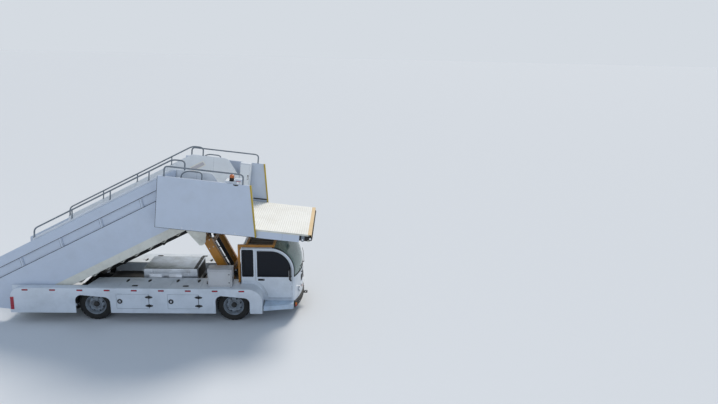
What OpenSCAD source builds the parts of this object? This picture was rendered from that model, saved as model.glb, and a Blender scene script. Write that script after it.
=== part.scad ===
// Self-propelled passenger stairs: a cab truck with a telescoping stair flight,
// a landing with sliding guard boards and a lifting mast.
// X points forward, Y to the vehicle's left and Z up, in millimetres.
// Inside the modules x is measured from the rear axle and z from the ground.
// The stairs are drawn as they stand in service, with level treads, and
// parked() then turns them nose down about their rear pivot.

/* [Chassis] */
// Distance between the axles
wheelbase = 3200; // [3000:10:3500]
// Width over the side bodies
body_w = 2300; // [2240:10:2400]
// Height of the flat deck above the ground
deck_z = 865; // [850:5:890]
// Height of the lower edge of the side bodies
skirt_z = 250; // [220:5:300]
// Distance from the rear axle back to the rear end of the side bodies
rear_overhang = 1880; // [1860:10:1950]
// Distance from the front axle to the front end of the side bodies
fender_reach = 685; // [670:5:700]
// Sheet thickness of the side bodies
sheet = 8; // [4:1:12]
// Width of the deck strip beside the stair flight
strip_w = 185; // [175:5:190]
// Width of the deck ahead of the stair flight
deck_w = 650; // [620:5:680]
// Height of the top of the main frame rails
rail_top = 620; // [600:5:630]
// Height of a main frame rail
rail_h = 180; // [140:5:200]
// Width of a main frame rail
rail_w = 80; // [60:5:100]
// Distance between the outer faces of the main rails
frame_w = 760; // [700:10:820]

/* [Wheels] */
// Outer diameter of a tyre
tyre_d = 770; // [750:5:780]
// Width of a tyre
tyre_w = 215; // [195:5:225]
// Diameter of a rim where the tyre seats
rim_d = 452; // [430:2:480]
// Distance from the middle of the vehicle to the middle of a tyre
track_half = 910; // [900:5:915]
// Distance from the middle of the vehicle to a steering pivot
kingpin_y = 780; // [770:5:785]
// Half width of a wheel arch at its lower edge
arch_half = 410; // [402:2:430]
// Height of the top of a wheel arch
arch_top = 700; // [690:5:715]

/* [Cab] */
// Width of the cab
cab_w = 1600; // [1560:10:1620]
// Distance from the front axle to the rear wall of the cab
cab_set = 160; // [150:5:180]
// Length of the cab
cab_l = 1400; // [1380:5:1420]
// Height of the cab roof
cab_top = 1750; // [1730:5:1780]
// Height of the lower edge of the cab
cab_foot = 430; // [425:1:440]
// Thickness of the cab walls
cab_t = 40; // [30:1:45]
// Height of the window sill
sill_z = 1040; // [1030:5:1070]
// Running gap round a door or lid
door_gap = 6; // [5:0.5:8]
// Gap along the hinged edge of a skirt door or deck lid
hinge_gap = 14; // [13:0.5:18]
// Thickness of the glass
glass_t = 6; // [4:1:8]

/* [Stairs] */
// Height of one rise
rise = 200; // [190:1:204]
// Depth of one tread
run = 310; // [305:1:320]
// Number of treads on the lower flight
lower_count = 12; // [12:1:12]
// Number of treads on the upper flight
upper_count = 10; // [9:1:10]
// Height from the lower treads to the upper treads that lie over them
flight_drop = 230; // [225:1:240]
// Height of the landing floor above the ground in service
floor_z = 2850; // [2840:5:2900]
// Distance from the rear axle to the rear edge of the landing floor
floor_x = 1810; // [1800:5:1840]
// Length of the landing floor
floor_l = 2990; // [2900:10:3050]
// Depth of the landing frame
floor_h = 200; // [180:5:210]
// Width of the landing floor
landing_w = 2300; // [2260:10:2320]
// Nose-down angle of the stairs when they are parked
park_tilt = 5.65; // [5:0.05:6]
// Distance from the rear axle back to the stair pivot
pivot_back = 1550; // [1540:5:1560]
// Height of the stair pivot
pivot_z = 500; // [495:5:510]
// Diameter of the stair pivot pins
pivot_d = 50; // [40:1:60]
// Gap between the side bodies and the lower side boards
side_gap = 15; // [12:1:22]
// Thickness of a lower side board
lower_t = 40; // [35:1:44]
// Thickness of an upper side board
upper_t = 30; // [25:1:34]
// Running gap between the lower and the upper side boards
board_gap = 15; // [10:1:20]
// Thickness of the folded tread plates
tread_t = 5; // [4:1:8]
// Height of the lower board's top edge above the upper treads' noses
board_h = 1168; // [1140:2:1180]
// Height of the upper boards' top edge above the lower boards
board_step = 70; // [60:2:90]
// Height of a handrail above the upper board's top edge
handrail_h = 215; // [180:5:240]
// Diameter of the handrail tubes
handrail_d = 40; // [34:1:48]
// Furthest the upper flight slides out
extension = 2400; // [2200:10:2420]

/* [Guards] */
// Length of a sliding guard board along its lower edge
guard_l = 2217; // [2100:5:2300]
// Height of a sliding guard board
guard_h = 1181; // [1100:5:1200]
// How far the front edge leans back at the top
guard_rake = 203; // [150:5:250]
// Thickness of a sliding guard board
guard_t = 40; // [30:1:45]
// Gap between a guard board and the side of the landing
guard_gap = 30; // [20:1:35]
// Height of the guard rail above the guard board
guard_rail_h = 225; // [180:5:260]

/* [Mast] */
// Distance from the front axle back to the mast's lower pin
mast_back = 100; // [90:5:110]
// Height of the mast's lower pin
mast_z = 720; // [710:5:740]
// Distance from the rear axle to the mast's upper pin in service
eye_x = 2300; // [2290:5:2320]
// Height of the mast's upper pin in service
eye_z = 2360; // [2350:5:2370]
// Depth of the outer mast beams
beam_h = 200; // [180:2:210]
// Width of the outer mast beams
beam_w = 120; // [110:2:130]
// Distance from the middle to the middle of a mast beam
beam_y = 450; // [440:5:470]
// Diameter of the mast pins
mast_pin_d = 50; // [40:1:56]

/* [Units] */
// Diameter of the locks on the skirt doors
lock_d = 120; // [100:5:130]
// Distance from the rear axle to the rear end of the engine cover
cover_x = 950; // [930:5:970]
// Length of the engine cover
cover_l = 1300; // [1280:5:1330]
// Width of the engine cover
cover_w = 860; // [840:5:900]
// Height of the top of the engine cover
cover_top = 1070; // [1050:5:1090]
// Length of the control box on the right deck
control_l = 555; // [500:5:560]
// Width of the control box
control_w = 275; // [240:5:280]
// Height of the control box
control_h = 440; // [400:5:450]
// Height of the grab rails on the landing
grab_h = 1135; // [1110:5:1160]
// Length of the grab rails along their top
grab_l = 320; // [280:5:360]
// Length of the cabinets on the landing
cabinet_l = 260; // [230:5:280]
// Height of the cabinets on the landing
cabinet_h = 1040; // [1000:5:1050]
// Height of the beacon
beacon_h = 150; // [120:5:160]

// Width of a seat
seat_w = 480; // [440:10:500]
// Length of a seat cushion
seat_l = 405; // [380:5:430]
// Width of the roof frame
roof_guard_w = 1440; // [1400:10:1480]
// Length of the roof frame
roof_guard_l = 685; // [600:5:720]

/* [Hidden] */
$fn = 48;

white = "#E8EBEE";
cream = "#E4DFCC";
steel_dark = "#2B2E33";
ochre = "#C9882B";

// Joints and places that follow from the sizes above
slope = atan(rise / run);
side_y = body_w / 2;
strip_y = side_y - strip_w;
inner_y = side_y - deck_w;
cab_rear = wheelbase + cab_set;
mast_x = wheelbase - mast_back;
pivot_x = -pivot_back;
lower_y = strip_y - side_gap;
upper_y = lower_y - lower_t - board_gap;
guard_y = landing_w / 2 + guard_gap;
floor_end = floor_x + floor_l;
hair = 0.3;

// Height of the line through the upper and the lower treads' noses at x
function upper_nose(x) = floor_z - (floor_x - x) * tan(slope);
function lower_nose(x) = upper_nose(x) - flight_drop;

// Where a point of the stairs lies when they are parked, and how far
// the model is moved so that its origin is in the middle of its box
function turned(p) = [
    pivot_x + (p[0] - pivot_x) * cos(park_tilt) + (p[1] - pivot_z) * sin(park_tilt),
    pivot_z - (p[0] - pivot_x) * sin(park_tilt) + (p[1] - pivot_z) * cos(park_tilt)];
foot_x = pivot_x - 900;
foot_z = 200;
bumper_l = 60;
mid_x = (turned([foot_x, foot_z])[0] + turned([floor_end + bumper_l, floor_z])[0]) / 2;

// Points along an arc of radius r round c, from angle a0 to a1
function arc(c, r, a0, a1, n = 8) =
    [for (i = [0:n]) c + r * [cos(a0 + (a1 - a0) * i / n), sin(a0 + (a1 - a0) * i / n)]];
function reversed(list) = [for (i = [len(list) - 1:-1:0]) list[i]];

module placed() {
    translate([-mid_x, 0, 0]) children();
}

module parked() {
    translate([pivot_x - mid_x, 0, pivot_z]) rotate([0, park_tilt, 0])
        translate([-pivot_x, 0, -pivot_z]) children();
}

module both_sides() {
    children();
    mirror([0, 1, 0]) children();
}

// The right side is the one at negative y
module on_side(right) {
    mirror([0, right ? 1 : 0, 0]) children();
}

// A flat outline in x and z, extruded from y0 to y1
module slab(y0, y1) {
    translate([0, y1, 0]) rotate([90, 0, 0]) linear_extrude(height = y1 - y0) children();
}

module box(x0, x1, y0, y1, z0, z1) {
    translate([x0, y0, z0]) cube([x1 - x0, y1 - y0, z1 - z0]);
}

// A round bar along y at a place in x and z
module pin(x, z, d, y0, y1) {
    translate([x, y1, z]) rotate([90, 0, 0]) cylinder(d = d, h = y1 - y0);
}

// A round bar from p to q, both given as x and z, at one y
module bar(p, q, d, y) {
    v = q - p;
    translate([p[0], y, p[1]]) rotate([0, 90 - atan2(v[1], v[0]), 0]) cylinder(d = d, h = norm(v));
}

// A tube through a list of places in x and z, with ball joints between
module tube_run(list, d, y) {
    for (i = [0:len(list) - 2]) bar(list[i], list[i + 1], d, y);
    for (i = [1:1:len(list) - 2]) translate([list[i][0], y, list[i][1]]) sphere(d = d + 3);
}

// Door hinge drawn round z: the fixed half lies towards x, the wall's face at y = -hinge_out
hinge_len = 44;
hinge_pin = 8;
hinge_out = 8;

module hinge_fixed() {
    translate([0, 0, -hinge_len / 2 - 12]) cylinder(d = hinge_pin, h = hinge_len + 24);
    for (z = [-hinge_len / 2 - 16, hinge_len / 2 + 2])
        translate([-2, -hinge_out - 1, z]) cube([27, 15, 14]);
}

module hinge_moving() {
    difference() {
        union() {
            translate([0, 0, -hinge_len / 2]) cylinder(d = 2 * hinge_out - 1, h = hinge_len);
            translate([-50, -hinge_out - 1, -hinge_len / 2]) cube([46, 12, hinge_len]);
        }
        translate([0, 0, -hinge_len]) cylinder(d = hinge_pin + 2 * hair, h = 2 * hinge_len);
    }
}

// Frame

rail_y = frame_w / 2;
tail_y = strip_y + 25;
tail_w = 70;
tail_x = -470;
goose_x = cab_rear + 280;
nose_x = cab_rear + 1240;
rail_end = cab_rear + 500;
nose_top = cab_foot - hair;
leg_table_x = [-560, wheelbase - 720];
leg_table_y = [760, 700];
leg_box = 130;
leg_top = 760;

// Skirt doors: rear end, front end, lower and upper edge
skirt_doors = [[536, 1284, 362, 727], [wheelbase - 1496, wheelbase - 778, 362, 727]];
// Deck lids: rear end, front end, inner and outer edge as a distance from the middle
deck_lids = [[560, 1290, inner_y + 180, side_y - 80],
    [wheelbase - 1470, wheelbase - 750, inner_y + 180, side_y - 80]];
outrigger_x = [470, (skirt_doors[0][1] + skirt_doors[1][0]) / 2, wheelbase - 600];

// Bay in the deck that leaves the mast room to swing
mast_bay_x = mast_x - 320;
mast_bay_y = max(inner_y, beam_y + beam_w / 2 + 40);

module frame() {
    color(steel_dark) placed() {
        difference() {
            union() {
                both_sides() {
                    box(tail_x - 90, rail_end, rail_y - rail_w, rail_y, rail_top - rail_h, rail_top);
                    box(goose_x, nose_x, rail_y - rail_w, rail_y, nose_top - 130, nose_top);
                    box(goose_x, goose_x + 120, rail_y - rail_w, rail_y, nose_top - 130, rail_top);
                    box(-rear_overhang + 40, tail_x, tail_y, tail_y + tail_w, 400, 580);
                    pin(pivot_x, pivot_z, pivot_d, lower_y - lower_t, tail_y + 1);
                    // Mast brackets on the middle cross member
                    for (y = [beam_y - beam_w / 2 - 28, beam_y + beam_w / 2 + 8])
                        slab(y, y + 20) mast_bracket();
                    pin(mast_x, mast_z, mast_pin_d, beam_y - beam_w / 2 - 28, beam_y + beam_w / 2 + 28);
                    // Housings of the stabilizer legs
                    for (i = [0, 1]) leg_housing(leg_table_x[i], leg_table_y[i]);
                    // Outriggers that carry the side bodies
                    for (x = outrigger_x)
                        box(x - 30, x + 30, rail_y - 1, side_y - sheet, 520, 580);
                    for (x = [-1480, -900])
                        box(x - 30, x + 30, tail_y + tail_w - 1, side_y - sheet, 450, 530);
                }
                box(tail_x - 90, tail_x, -tail_y - tail_w, tail_y + tail_w, 420, 600);
                for (x = [700, 2150, cab_rear + 400])
                    box(x - 40, x + 40, -rail_y + 1, rail_y - 1, rail_top - 120, rail_top - 10);
                box(mast_x - 110, mast_x + 110, -600, 600, rail_top - 90, rail_top);
                box(nose_x - 60, nose_x, -rail_y + 1, rail_y - 1, nose_top - 130, nose_top);
                // Floor of the well between the side bodies
                for (x = [[tail_x + 420, cover_x - 70], [cover_x + cover_l + 40, mast_x - 109]])
                    box(x[0], x[1], -inner_y + sheet, inner_y - sheet, rail_top - 6, rail_top + 6);
            }
            both_sides() for (i = [0, 1])
                leg_bore(leg_table_x[i], leg_table_y[i]);
        }
    }
}

module mast_bracket() {
    polygon(concat([[mast_x - 110, rail_top - 1], [mast_x + 110, rail_top - 1]],
        arc([mast_x, mast_z], 60, 0, 180, 12)));
}

module leg_housing(x, y) {
    box(x - leg_box / 2, x + leg_box / 2, y - leg_box / 2, y + leg_box / 2, 330, 600);
    box(x - 40, x + 40, rail_y - 1, y, 450, 580);
}

module leg_bore(x, y) {
    translate([x, y, 0]) cylinder(d = 92, h = 1000);
}

// Stabilizers

leg_lift = 200;

module leg(x, y) {
    translate([x, y, leg_lift + 12]) cylinder(d = 80, h = 330);
    translate([x, y, leg_lift]) cylinder(d = 190, h = 16);
    translate([x, y, leg_lift + 330]) cylinder(d = 91.4, h = 30);
}

module stabilizers(i) {
    color("#3A3D42") placed() both_sides() leg(leg_table_x[i], leg_table_y[i]);
}

module stabilizers_rear() { stabilizers(0); }
module stabilizers_front() { stabilizers(1); }

// Axles, springs and wheels

axle_z = tyre_d / 2;
hub_face = track_half - 40;

module rear_axle() {
    color("#34373B") placed() {
        translate([0, 0, axle_z]) sphere(d = 300);
        both_sides() {
            pin(0, axle_z, 110, 0, 700);
            pin(0, axle_z, 230, 690, hub_face - 60);
            pin(0, axle_z, 70, hub_face - 61, track_half + 22);
        }
    }
}

module front_axle() {
    color("#34373B") placed() difference() {
        both_sides() {
            box(wheelbase - 45, wheelbase + 45, -1, 600, axle_z - 110, axle_z - 20);
            box(wheelbase - 40, wheelbase + 40, 590, kingpin_y - 44, axle_z - 60, axle_z + 60);
            for (z = [-95, 65])
                box(wheelbase - 40, wheelbase + 40, 600, kingpin_y + 22, axle_z + z, axle_z + z + 30);
            box(wheelbase - 40, wheelbase + 40, 640, 700, axle_z - 95, axle_z + 95);
        }
        both_sides() translate([wheelbase, kingpin_y, 0]) cylinder(d = 30 + 2 * hair, h = 800);
    }
}

// Steering knuckle with its pivot pin and stub axle
module knuckle(right) {
    color("#3C4046") placed() on_side(right) translate([wheelbase, kingpin_y, axle_z]) {
        translate([0, 0, -95]) cylinder(d = 30, h = 190);
        translate([0, 0, -64.5]) cylinder(d = 80, h = 129);
        rotate([-90, 0, 0]) cylinder(d = 62, h = track_half - kingpin_y + 20);
        translate([0, 40, 0]) rotate([-90, 0, 0]) cylinder(d = 180, h = 30);
    }
}
module knuckle_right() { knuckle(true); }
module knuckle_left() { knuckle(false); }

module leaf_springs() {
    spring_y = rail_y + 45;
    color("#26282B") placed() both_sides() for (x = [0, wheelbase]) {
        low = x == 0 ? axle_z + 55 : axle_z - 20;
        for (i = [0:3])
            box(x - 420 + 90 * i, x + 420 - 90 * i, spring_y - 32, spring_y + 32, low + 10 * i,
                low + 10 * i + 10);
        for (s = [-1, 1])
            box(x + s * 400 - 30, x + s * 400 + 30, rail_y, spring_y + 32, low, rail_top - 60);
        box(x - 60, x + 60, spring_y - 36, spring_y + 36, low + 40, low + 52);
    }
}

// Tyre as one ring with rounded shoulders, drawn round the y axis
module tyre(x, right) {
    color("#1D1E20") placed() on_side(right) translate([x, track_half, axle_z])
        rotate([90, 0, 0]) rotate_extrude($fn = 72) tyre_section();
}

module tyre_section() {
    r = tyre_d / 2;
    w = tyre_w / 2;
    polygon(concat([[rim_d / 2, -w + 30]],
        arc([r - 95, -w + 12], 12, 180, 270, 4), arc([r - 26, -w + 30], 26, -60, 0, 4),
        arc([r - 26, w - 30], 26, 0, 60, 4), arc([r - 95, w - 12], 12, 90, 180, 4),
        [[rim_d / 2, w - 30]]));
}
module tyre_rear_right() { tyre(0, true); }
module tyre_rear_left() { tyre(0, false); }
module tyre_front_right() { tyre(wheelbase, true); }
module tyre_front_left() { tyre(wheelbase, false); }

// Disc wheel: flanged rim, dished disc with hand holes, and hub cap
module rim(x, right, axle_d) {
    r = rim_d / 2 - hair;
    w = tyre_w / 2 - 22;
    color("#8E9296") placed() on_side(right) translate([x, track_half, axle_z]) rotate([-90, 0, 0])
        difference() {
            union() {
                rotate_extrude($fn = 72) polygon([[r - 14, -w], [r, -w], [r, w], [r - 14, w]]);
                for (s = [-1, 1]) translate([0, 0, s * (w + 5) - 5])
                    rotate_extrude($fn = 72) polygon([[r - 14, 0], [r + 14, 0], [r + 14, 10], [r - 14, 10]]);
                rotate_extrude($fn = 72)
                    polygon([[0, 30], [100, 30], [120, 48], [150, 50], [r - 1, 20], [r - 1, 8], [146, 36],
                        [118, 34], [98, 18], [0, 18]]);
                translate([0, 0, 29]) cylinder(d = 110, h = 42);
                translate([0, 0, -2]) cylinder(d = 150, h = 22);
            }
            translate([0, 0, -200]) cylinder(d = axle_d + 2 * hair, h = 224);
            for (a = [0:45:315]) rotate([0, 0, a + 22.5]) translate([170, 0, 0]) cylinder(d = 46, h = 100);
        }
}
module rim_rear_right() { rim(0, true, 70); }
module rim_rear_left() { rim(0, false, 70); }
module rim_front_right() { rim(wheelbase, true, 62); }
module rim_front_left() { rim(wheelbase, false, 62); }

// Side bodies

fender_x = wheelbase + fender_reach;
rear_r = 240;
fender_r = 330;
cab_y = cab_w / 2;

// Side view of a side body, inset by i
function side_outline(i) = concat(
    [[-rear_overhang + i, skirt_z - 1]],
    arc([-rear_overhang + rear_r + 30, deck_z - rear_r], rear_r - i, 172, 90, 8),
    arc([fender_x - fender_r, deck_z - fender_r], fender_r - i, 90, 0, 10),
    [[fender_x - i, skirt_z - 1]]);

// Wheel arch with rounded corners, its top falling towards the front
function arch_outline(x) = concat(
    [[x - arch_half, skirt_z - 10]],
    arc([x - arch_half + 160, arch_top - 150], 150, 176, 92, 8),
    arc([x + arch_half - 150, arch_top - 190], 140, 78, 2, 8),
    [[x + arch_half, skirt_z - 10]]);

deck_end = cab_rear - 45;
wall_top = deck_z - 1;

module plan_outline() {
    polygon([[-rear_overhang, strip_y], [-160, strip_y], [-70, inner_y], [mast_bay_x, inner_y],
        [mast_bay_x, mast_bay_y], [deck_end, mast_bay_y], [deck_end, cab_y + 10],
        [fender_x, cab_y + 10], [fender_x, side_y], [-rear_overhang, side_y]]);
}

module side_body(right) {
    color(white) placed() on_side(right) difference() {
        union() {
            slab(side_y - sheet, side_y) difference() {
                polygon(side_outline(0));
                translate([-rear_overhang - 100, skirt_z - 100]) square([8000, 100]);
                for (x = [0, wheelbase]) polygon(arch_outline(x));
                for (d = skirt_doors)
                    translate([d[0], d[2]]) square([d[1] - d[0], d[3] - d[2]]);
            }
            intersection() {
                slab(inner_y, side_y - sheet) difference() {
                    polygon(side_outline(0));
                    polygon(side_outline(sheet));
                }
                translate([0, 0, skirt_z]) linear_extrude(height = 1000) plan_outline();
            }
            // Inner walls down to the frame
            box(-rear_overhang + 2, tail_x - 90 - hair, strip_y, strip_y + sheet, 300, wall_top);
            box(-70, mast_bay_x, inner_y, inner_y + sheet, rail_top + 8, wall_top);
            box(mast_bay_x - sheet, mast_bay_x, inner_y, mast_bay_y + sheet, rail_top + 8, wall_top);
            box(mast_bay_x - 1, deck_end, mast_bay_y, mast_bay_y + sheet, rail_top + 8, wall_top);
            // Stays from the outriggers up to the deck
            for (x = outrigger_x)
                box(x - 20, x + 20, side_y - sheet - 50, side_y - sheet + 1, 580, wall_top);
        }
        for (l = deck_lids)
            box(l[0], l[1], l[2], l[3], deck_z - 100, deck_z + 10);
        translate([pivot_x, 0, pivot_z]) rotate([-90, 0, 0]) cylinder(d = 120, h = strip_y + 40);
    }
    color(white) placed() on_side(right) {
        at_skirt_hinges(skirt_doors) hinge_fixed();
        at_lid_hinges(deck_lids) hinge_fixed();
    }
}

// Places of the hinges of skirt doors and deck lids
module at_skirt_hinges(doors) {
    for (d = doors, z = [d[2] + 75, d[3] - 75])
        translate([d[1] - 3, side_y + hinge_out, z]) children();
}

module at_lid_hinges(lids) {
    for (l = lids, x = [l[0] + 110, l[1] - 110])
        translate([x, l[2] + 3, deck_z + hinge_out]) rotate([90, 0, -90]) children();
}
module side_body_right() { side_body(true); }
module side_body_left() { side_body(false); }

// Door in the skirt, with hinge lugs at its front edge and a round lock
module skirt_door(i, right) {
    d = skirt_doors[i];
    color(white) placed() on_side(right) {
        box(d[0] + door_gap, d[1] - hinge_gap, side_y - sheet, side_y, d[2] + door_gap, d[3] - door_gap);
        at_skirt_hinges([d]) hinge_moving();
        translate([d[0] + 80, side_y - 1, (d[2] + d[3]) / 2]) rotate([-90, 0, 0]) cylinder(d = lock_d, h = 7);
    }
}
module skirt_door_right_1() { skirt_door(0, true); }
module skirt_door_right_2() { skirt_door(1, true); }
module skirt_door_left_1() { skirt_door(0, false); }
module skirt_door_left_2() { skirt_door(1, false); }

// Lid in the deck, hinged at its inner edge
module deck_lid(i, right) {
    l = deck_lids[i];
    color(white) placed() on_side(right) {
        box(l[0] + door_gap, l[1] - door_gap, l[2] + hinge_gap, l[3] - door_gap, deck_z - sheet, deck_z);
        at_lid_hinges([l]) hinge_moving();
    }
}
module deck_lid_right_1() { deck_lid(0, true); }
module deck_lid_right_2() { deck_lid(1, true); }
module deck_lid_left_1() { deck_lid(0, false); }
module deck_lid_left_2() { deck_lid(1, false); }

module control_box() {
    x = wheelbase - 580;
    y = -inner_y - 245;
    t = 10;
    color(white) placed() difference() {
        box(x, x + control_l, y - control_w, y, deck_z + hair, deck_z + control_h);
        box(x + t, x + control_l - t, y - control_w + t, y - t, deck_z + t, deck_z + control_h - t);
    }
}

module engine() {
    x0 = cover_x + 200;
    x1 = cover_x + cover_l - 300;
    y = cover_w / 2 - 150;
    color("#4A4D50") placed() {
        box(x0, x1, -y, y, 360, cover_top - 120);
        both_sides() for (x = [x0 + 50, x1 - 110])
            box(x, x + 60, y - 1, rail_y - rail_w, rail_top - 110, rail_top - 40);
    }
}

// Aluminium cover over the engine, open below, with a dark panel at its front end
module engine_cover() {
    x1 = cover_x + cover_l;
    y = cover_w / 2;
    t = 6;
    color("#B9BEC4") placed() difference() {
        box(cover_x, x1, -y, y, rail_top + hair, cover_top);
        box(cover_x + t, x1 - t, -y + t, y - t, rail_top - 10, cover_top - t);
    }
}

// Cab

cab_front = cab_rear + cab_l;
cab_floor = deck_z + 45;
pillar_c = [cab_rear + 690, 1200];
pillar_r = 550;
well_c = [fender_x - 435, 450];
well_r = 500;
brow_r = 620;
bow_r = 2530;
corner_r = 60;
corner_back = 190;
skin_t = 8;

// Side view of the cab along its middle, inset by i
function cab_side(i) = concat(
    [[cab_rear + i, cab_floor + i]],
    arc([cab_rear + 100, cab_top - 100], 100 - i, 180, 90, 4),
    arc([cab_front - brow_r, cab_top - brow_r], brow_r - i, 90, 0, 16),
    [[cab_front - i, cab_foot + i]],
    arc(well_c, well_r + i, asin((cab_foot + i - well_c[1]) / (well_r + i)),
        asin((cab_floor + i - well_c[1]) / (well_r + i)), 10));

// Plan of the cab with its bowed front, inset by i
function cab_plan(i) = concat(
    [[cab_rear + i, -cab_y + i]],
    arc([cab_front - corner_back, -cab_y + corner_r], corner_r - i, -90, -20, 6),
    arc([cab_front - bow_r, 0], bow_r - i, -14, 14, 12),
    arc([cab_front - corner_back, cab_y - corner_r], corner_r - i, 20, 90, 6),
    [[cab_rear + i, cab_y - i]]);

module cab_solid(i) {
    intersection() {
        slab(-cab_y - 10, cab_y + 10) polygon(cab_side(i));
        linear_extrude(height = 3000) polygon(cab_plan(i));
    }
}

// Region of the wrap-round windscreen, shrunk by g
module screen_region(g) {
    difference() {
        box(pillar_c[0] + 30 + g, cab_front + 100, -cab_y - 50, cab_y + 50, sill_z + g, cab_top + 100);
        both_sides() {
            slab(cab_y - cab_t - g, cab_y + 60) circle_at(pillar_c, pillar_r + g);
            box(cab_rear, pillar_c[0] + pillar_r + g, cab_y - cab_t - g, cab_y + 60, 0, pillar_c[1]);
        }
    }
}

module circle_at(c, r) {
    translate(c) circle(r = r, $fn = 96);
}

// Outline of a door, grown by g
module door_outline(g) {
    polygon(concat(
        [[cab_rear + 340 - g, cab_floor + 20], [cab_rear + 340 - g, cab_top - 50 + g]],
        [[pillar_c[0] - 10, cab_top - 50 + g]],
        arc(pillar_c, pillar_r - 50 + g, 85, 0, 12),
        [[pillar_c[0] + pillar_r - 50 + g, cab_foot + 50 - g]],
        arc(well_c, well_r + 40 - g, asin((cab_foot + 50 - g - well_c[1]) / (well_r + 40 - g)), 58, 8)));
}

// Outline of the window in a door, shrunk by g
module window_outline(g) {
    polygon(concat(
        [[cab_rear + 385 + g, sill_z + g], [cab_rear + 385 + g, cab_top - 95 - g]],
        arc(pillar_c, pillar_r - 95 - g, 88, 0, 12),
        [[pillar_c[0] + pillar_r - 95 - g, sill_z + g]]));
}

module quarter_window(g) {
    translate([cab_rear + 50 + g, sill_z + g]) square([230 - 2 * g, cab_top - 90 - sill_z - 2 * g]);
}

rear_window = [560, 1120, 1620];

module at_cab_hinges() {
    for (z = [600, 860])
        translate([pillar_c[0] + pillar_r - 47, cab_y + hinge_out, z]) children();
}

module cab_shell() {
    color(white) placed() both_sides() at_cab_hinges() hinge_fixed();
    color(white) placed() difference() {
        cab_solid(0);
        cab_solid(cab_t);
        screen_region(0);
        slab(-cab_y - 50, cab_y + 50) door_outline(door_gap);
        slab(-cab_y - 50, cab_y + 50) quarter_window(0);
        box(cab_rear - 10, cab_rear + 100, -rear_window[0], rear_window[0], rear_window[1], rear_window[2]);
    }
}

module cab_glass() {
    color("#2C4A44") placed() {
        intersection() {
            difference() {
                cab_solid(10);
                cab_solid(10 + glass_t);
            }
            screen_region(hair);
        }
        both_sides() slab(cab_y - 20 - glass_t, cab_y - 20) quarter_window(hair);
        box(cab_rear + 15, cab_rear + 15 + glass_t, -rear_window[0] + hair, rear_window[0] - hair,
            rear_window[1] + hair, rear_window[2] - hair);
    }
}

module cab_door(right) {
    color(white) placed() on_side(right) {
        difference() {
            union() {
                slab(cab_y - skin_t, cab_y) door_outline(0);
                intersection() {
                    slab(cab_y - cab_t, cab_y - skin_t + 1) door_outline(0);
                    box(0, pillar_c[0] + pillar_r - 95, 0, cab_y, 0, cab_top);
                }
            }
            slab(cab_y - cab_t - 1, cab_y + 1) window_outline(0);
        }
        box(cab_rear + 400, cab_rear + 520, cab_y - 1, cab_y + 22, sill_z - 90, sill_z - 62);
        at_cab_hinges() hinge_moving();
    }
}
module cab_door_right() { cab_door(true); }
module cab_door_left() { cab_door(false); }

module door_glass(right) {
    color("#16202C") placed() on_side(right)
        slab(cab_y - 20 - glass_t, cab_y - 20) window_outline(hair);
}
module door_glass_right() { door_glass(true); }
module door_glass_left() { door_glass(false); }

// Distance from the middle of the vehicle to the middle of a seat
seat_y = 360;

// Two seats on the raised floor, dashboard, column and steering wheel
module cab_interior() {
    base = cab_floor + cab_t + hair;
    color("#25272B") placed() {
        for (y = [-seat_y, seat_y]) {
            x = cab_rear + 75;
            w = seat_w / 2;
            box(x, x + 255, y - w + 20, y + w - 20, base, base + 130);
            box(x, x + seat_l, y - w, y + w, base + 130, base + 230);
            box(x, x + 90, y - w + 10, y + w - 10, base + 230, base + 680);
        }
        slab(-cab_y + cab_t + 30, cab_y - cab_t - 30)
            polygon([[cab_front - 400, 700], [cab_front - 180, 700], [cab_front - 180, sill_z - 20],
                [cab_front - 330, sill_z], [cab_front - 430, sill_z - 80]]);
        box(cab_front - 380, cab_front - 200, -300, 300, cab_foot + cab_t + hair, 701);
        bar([cab_front - 360, sill_z - 60], [cab_front - 500, sill_z + 60], 50, seat_y);
        translate([cab_front - 505, seat_y, sill_z + 65]) rotate([0, -49.4, 0]) {
            rotate_extrude() translate([190, 0]) circle(d = 28, $fn = 16);
            cylinder(d = 80, h = 20, center = true);
            for (a = [90, 210, 330]) rotate([0, 0, a]) translate([0, -12, -6]) cube([192, 24, 12]);
        }
    }
}

// Depth of the roof frame, its distance from the rear wall and the gap to its uprights
roof_guard_t = 50;
roof_guard_back = 95;
roof_post_gap = 35;

// Frame and dark panel on the roof, and the two uprights behind the cab
module roof_guard() {
    z = cab_top + hair;
    y = roof_guard_w / 2;
    t = roof_guard_t;
    x0 = cab_rear + roof_guard_back;
    x1 = x0 + roof_guard_l;
    post_x = cab_rear - roof_post_gap;
    color(ochre) placed() {
        difference() {
            box(x0, x1, -y, y, z, z + t);
            box(x0 + t, x1 - t, -y + t, y - t, z + 20, z + t + 10);
        }
        both_sides() {
            box(post_x - 45, post_x, y - 60, y, deck_z + hair, z + t);
            box(post_x - 45, x0 + 1, y - 60, y, z, z + t);
        }
    }
}

// Step below each door, folded from tread plate
module cab_steps() {
    color("#8FA0B4") placed() both_sides() {
        difference() {
            linear_extrude(height = cab_foot - 5) polygon([[fender_x + 25, cab_y - 60],
                [cab_front - 165, cab_y - 60], [cab_front - 165, cab_y + 190], [fender_x + 25, cab_y + 320]]);
            translate([0, 0, -10]) linear_extrude(height = cab_foot - 5) polygon([[fender_x + 35, cab_y - 70],
                [cab_front - 175, cab_y - 70], [cab_front - 175, cab_y + 175], [fender_x + 35, cab_y + 305]]);
            box(fender_x, cab_front, cab_y - 100, cab_y + 400, -1, cab_foot - 125);
        }
        for (x = [fender_x + 60, cab_front - 260])
            box(x, x + 60, rail_y, cab_y - 40, cab_foot - 70, cab_foot - 14);
    }
}

tow_reach = 120;
tow_w = 110;
tow_t = 30;
tow_z = 300;
tow_x = cab_front + 70;
tow_d = 42;

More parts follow.
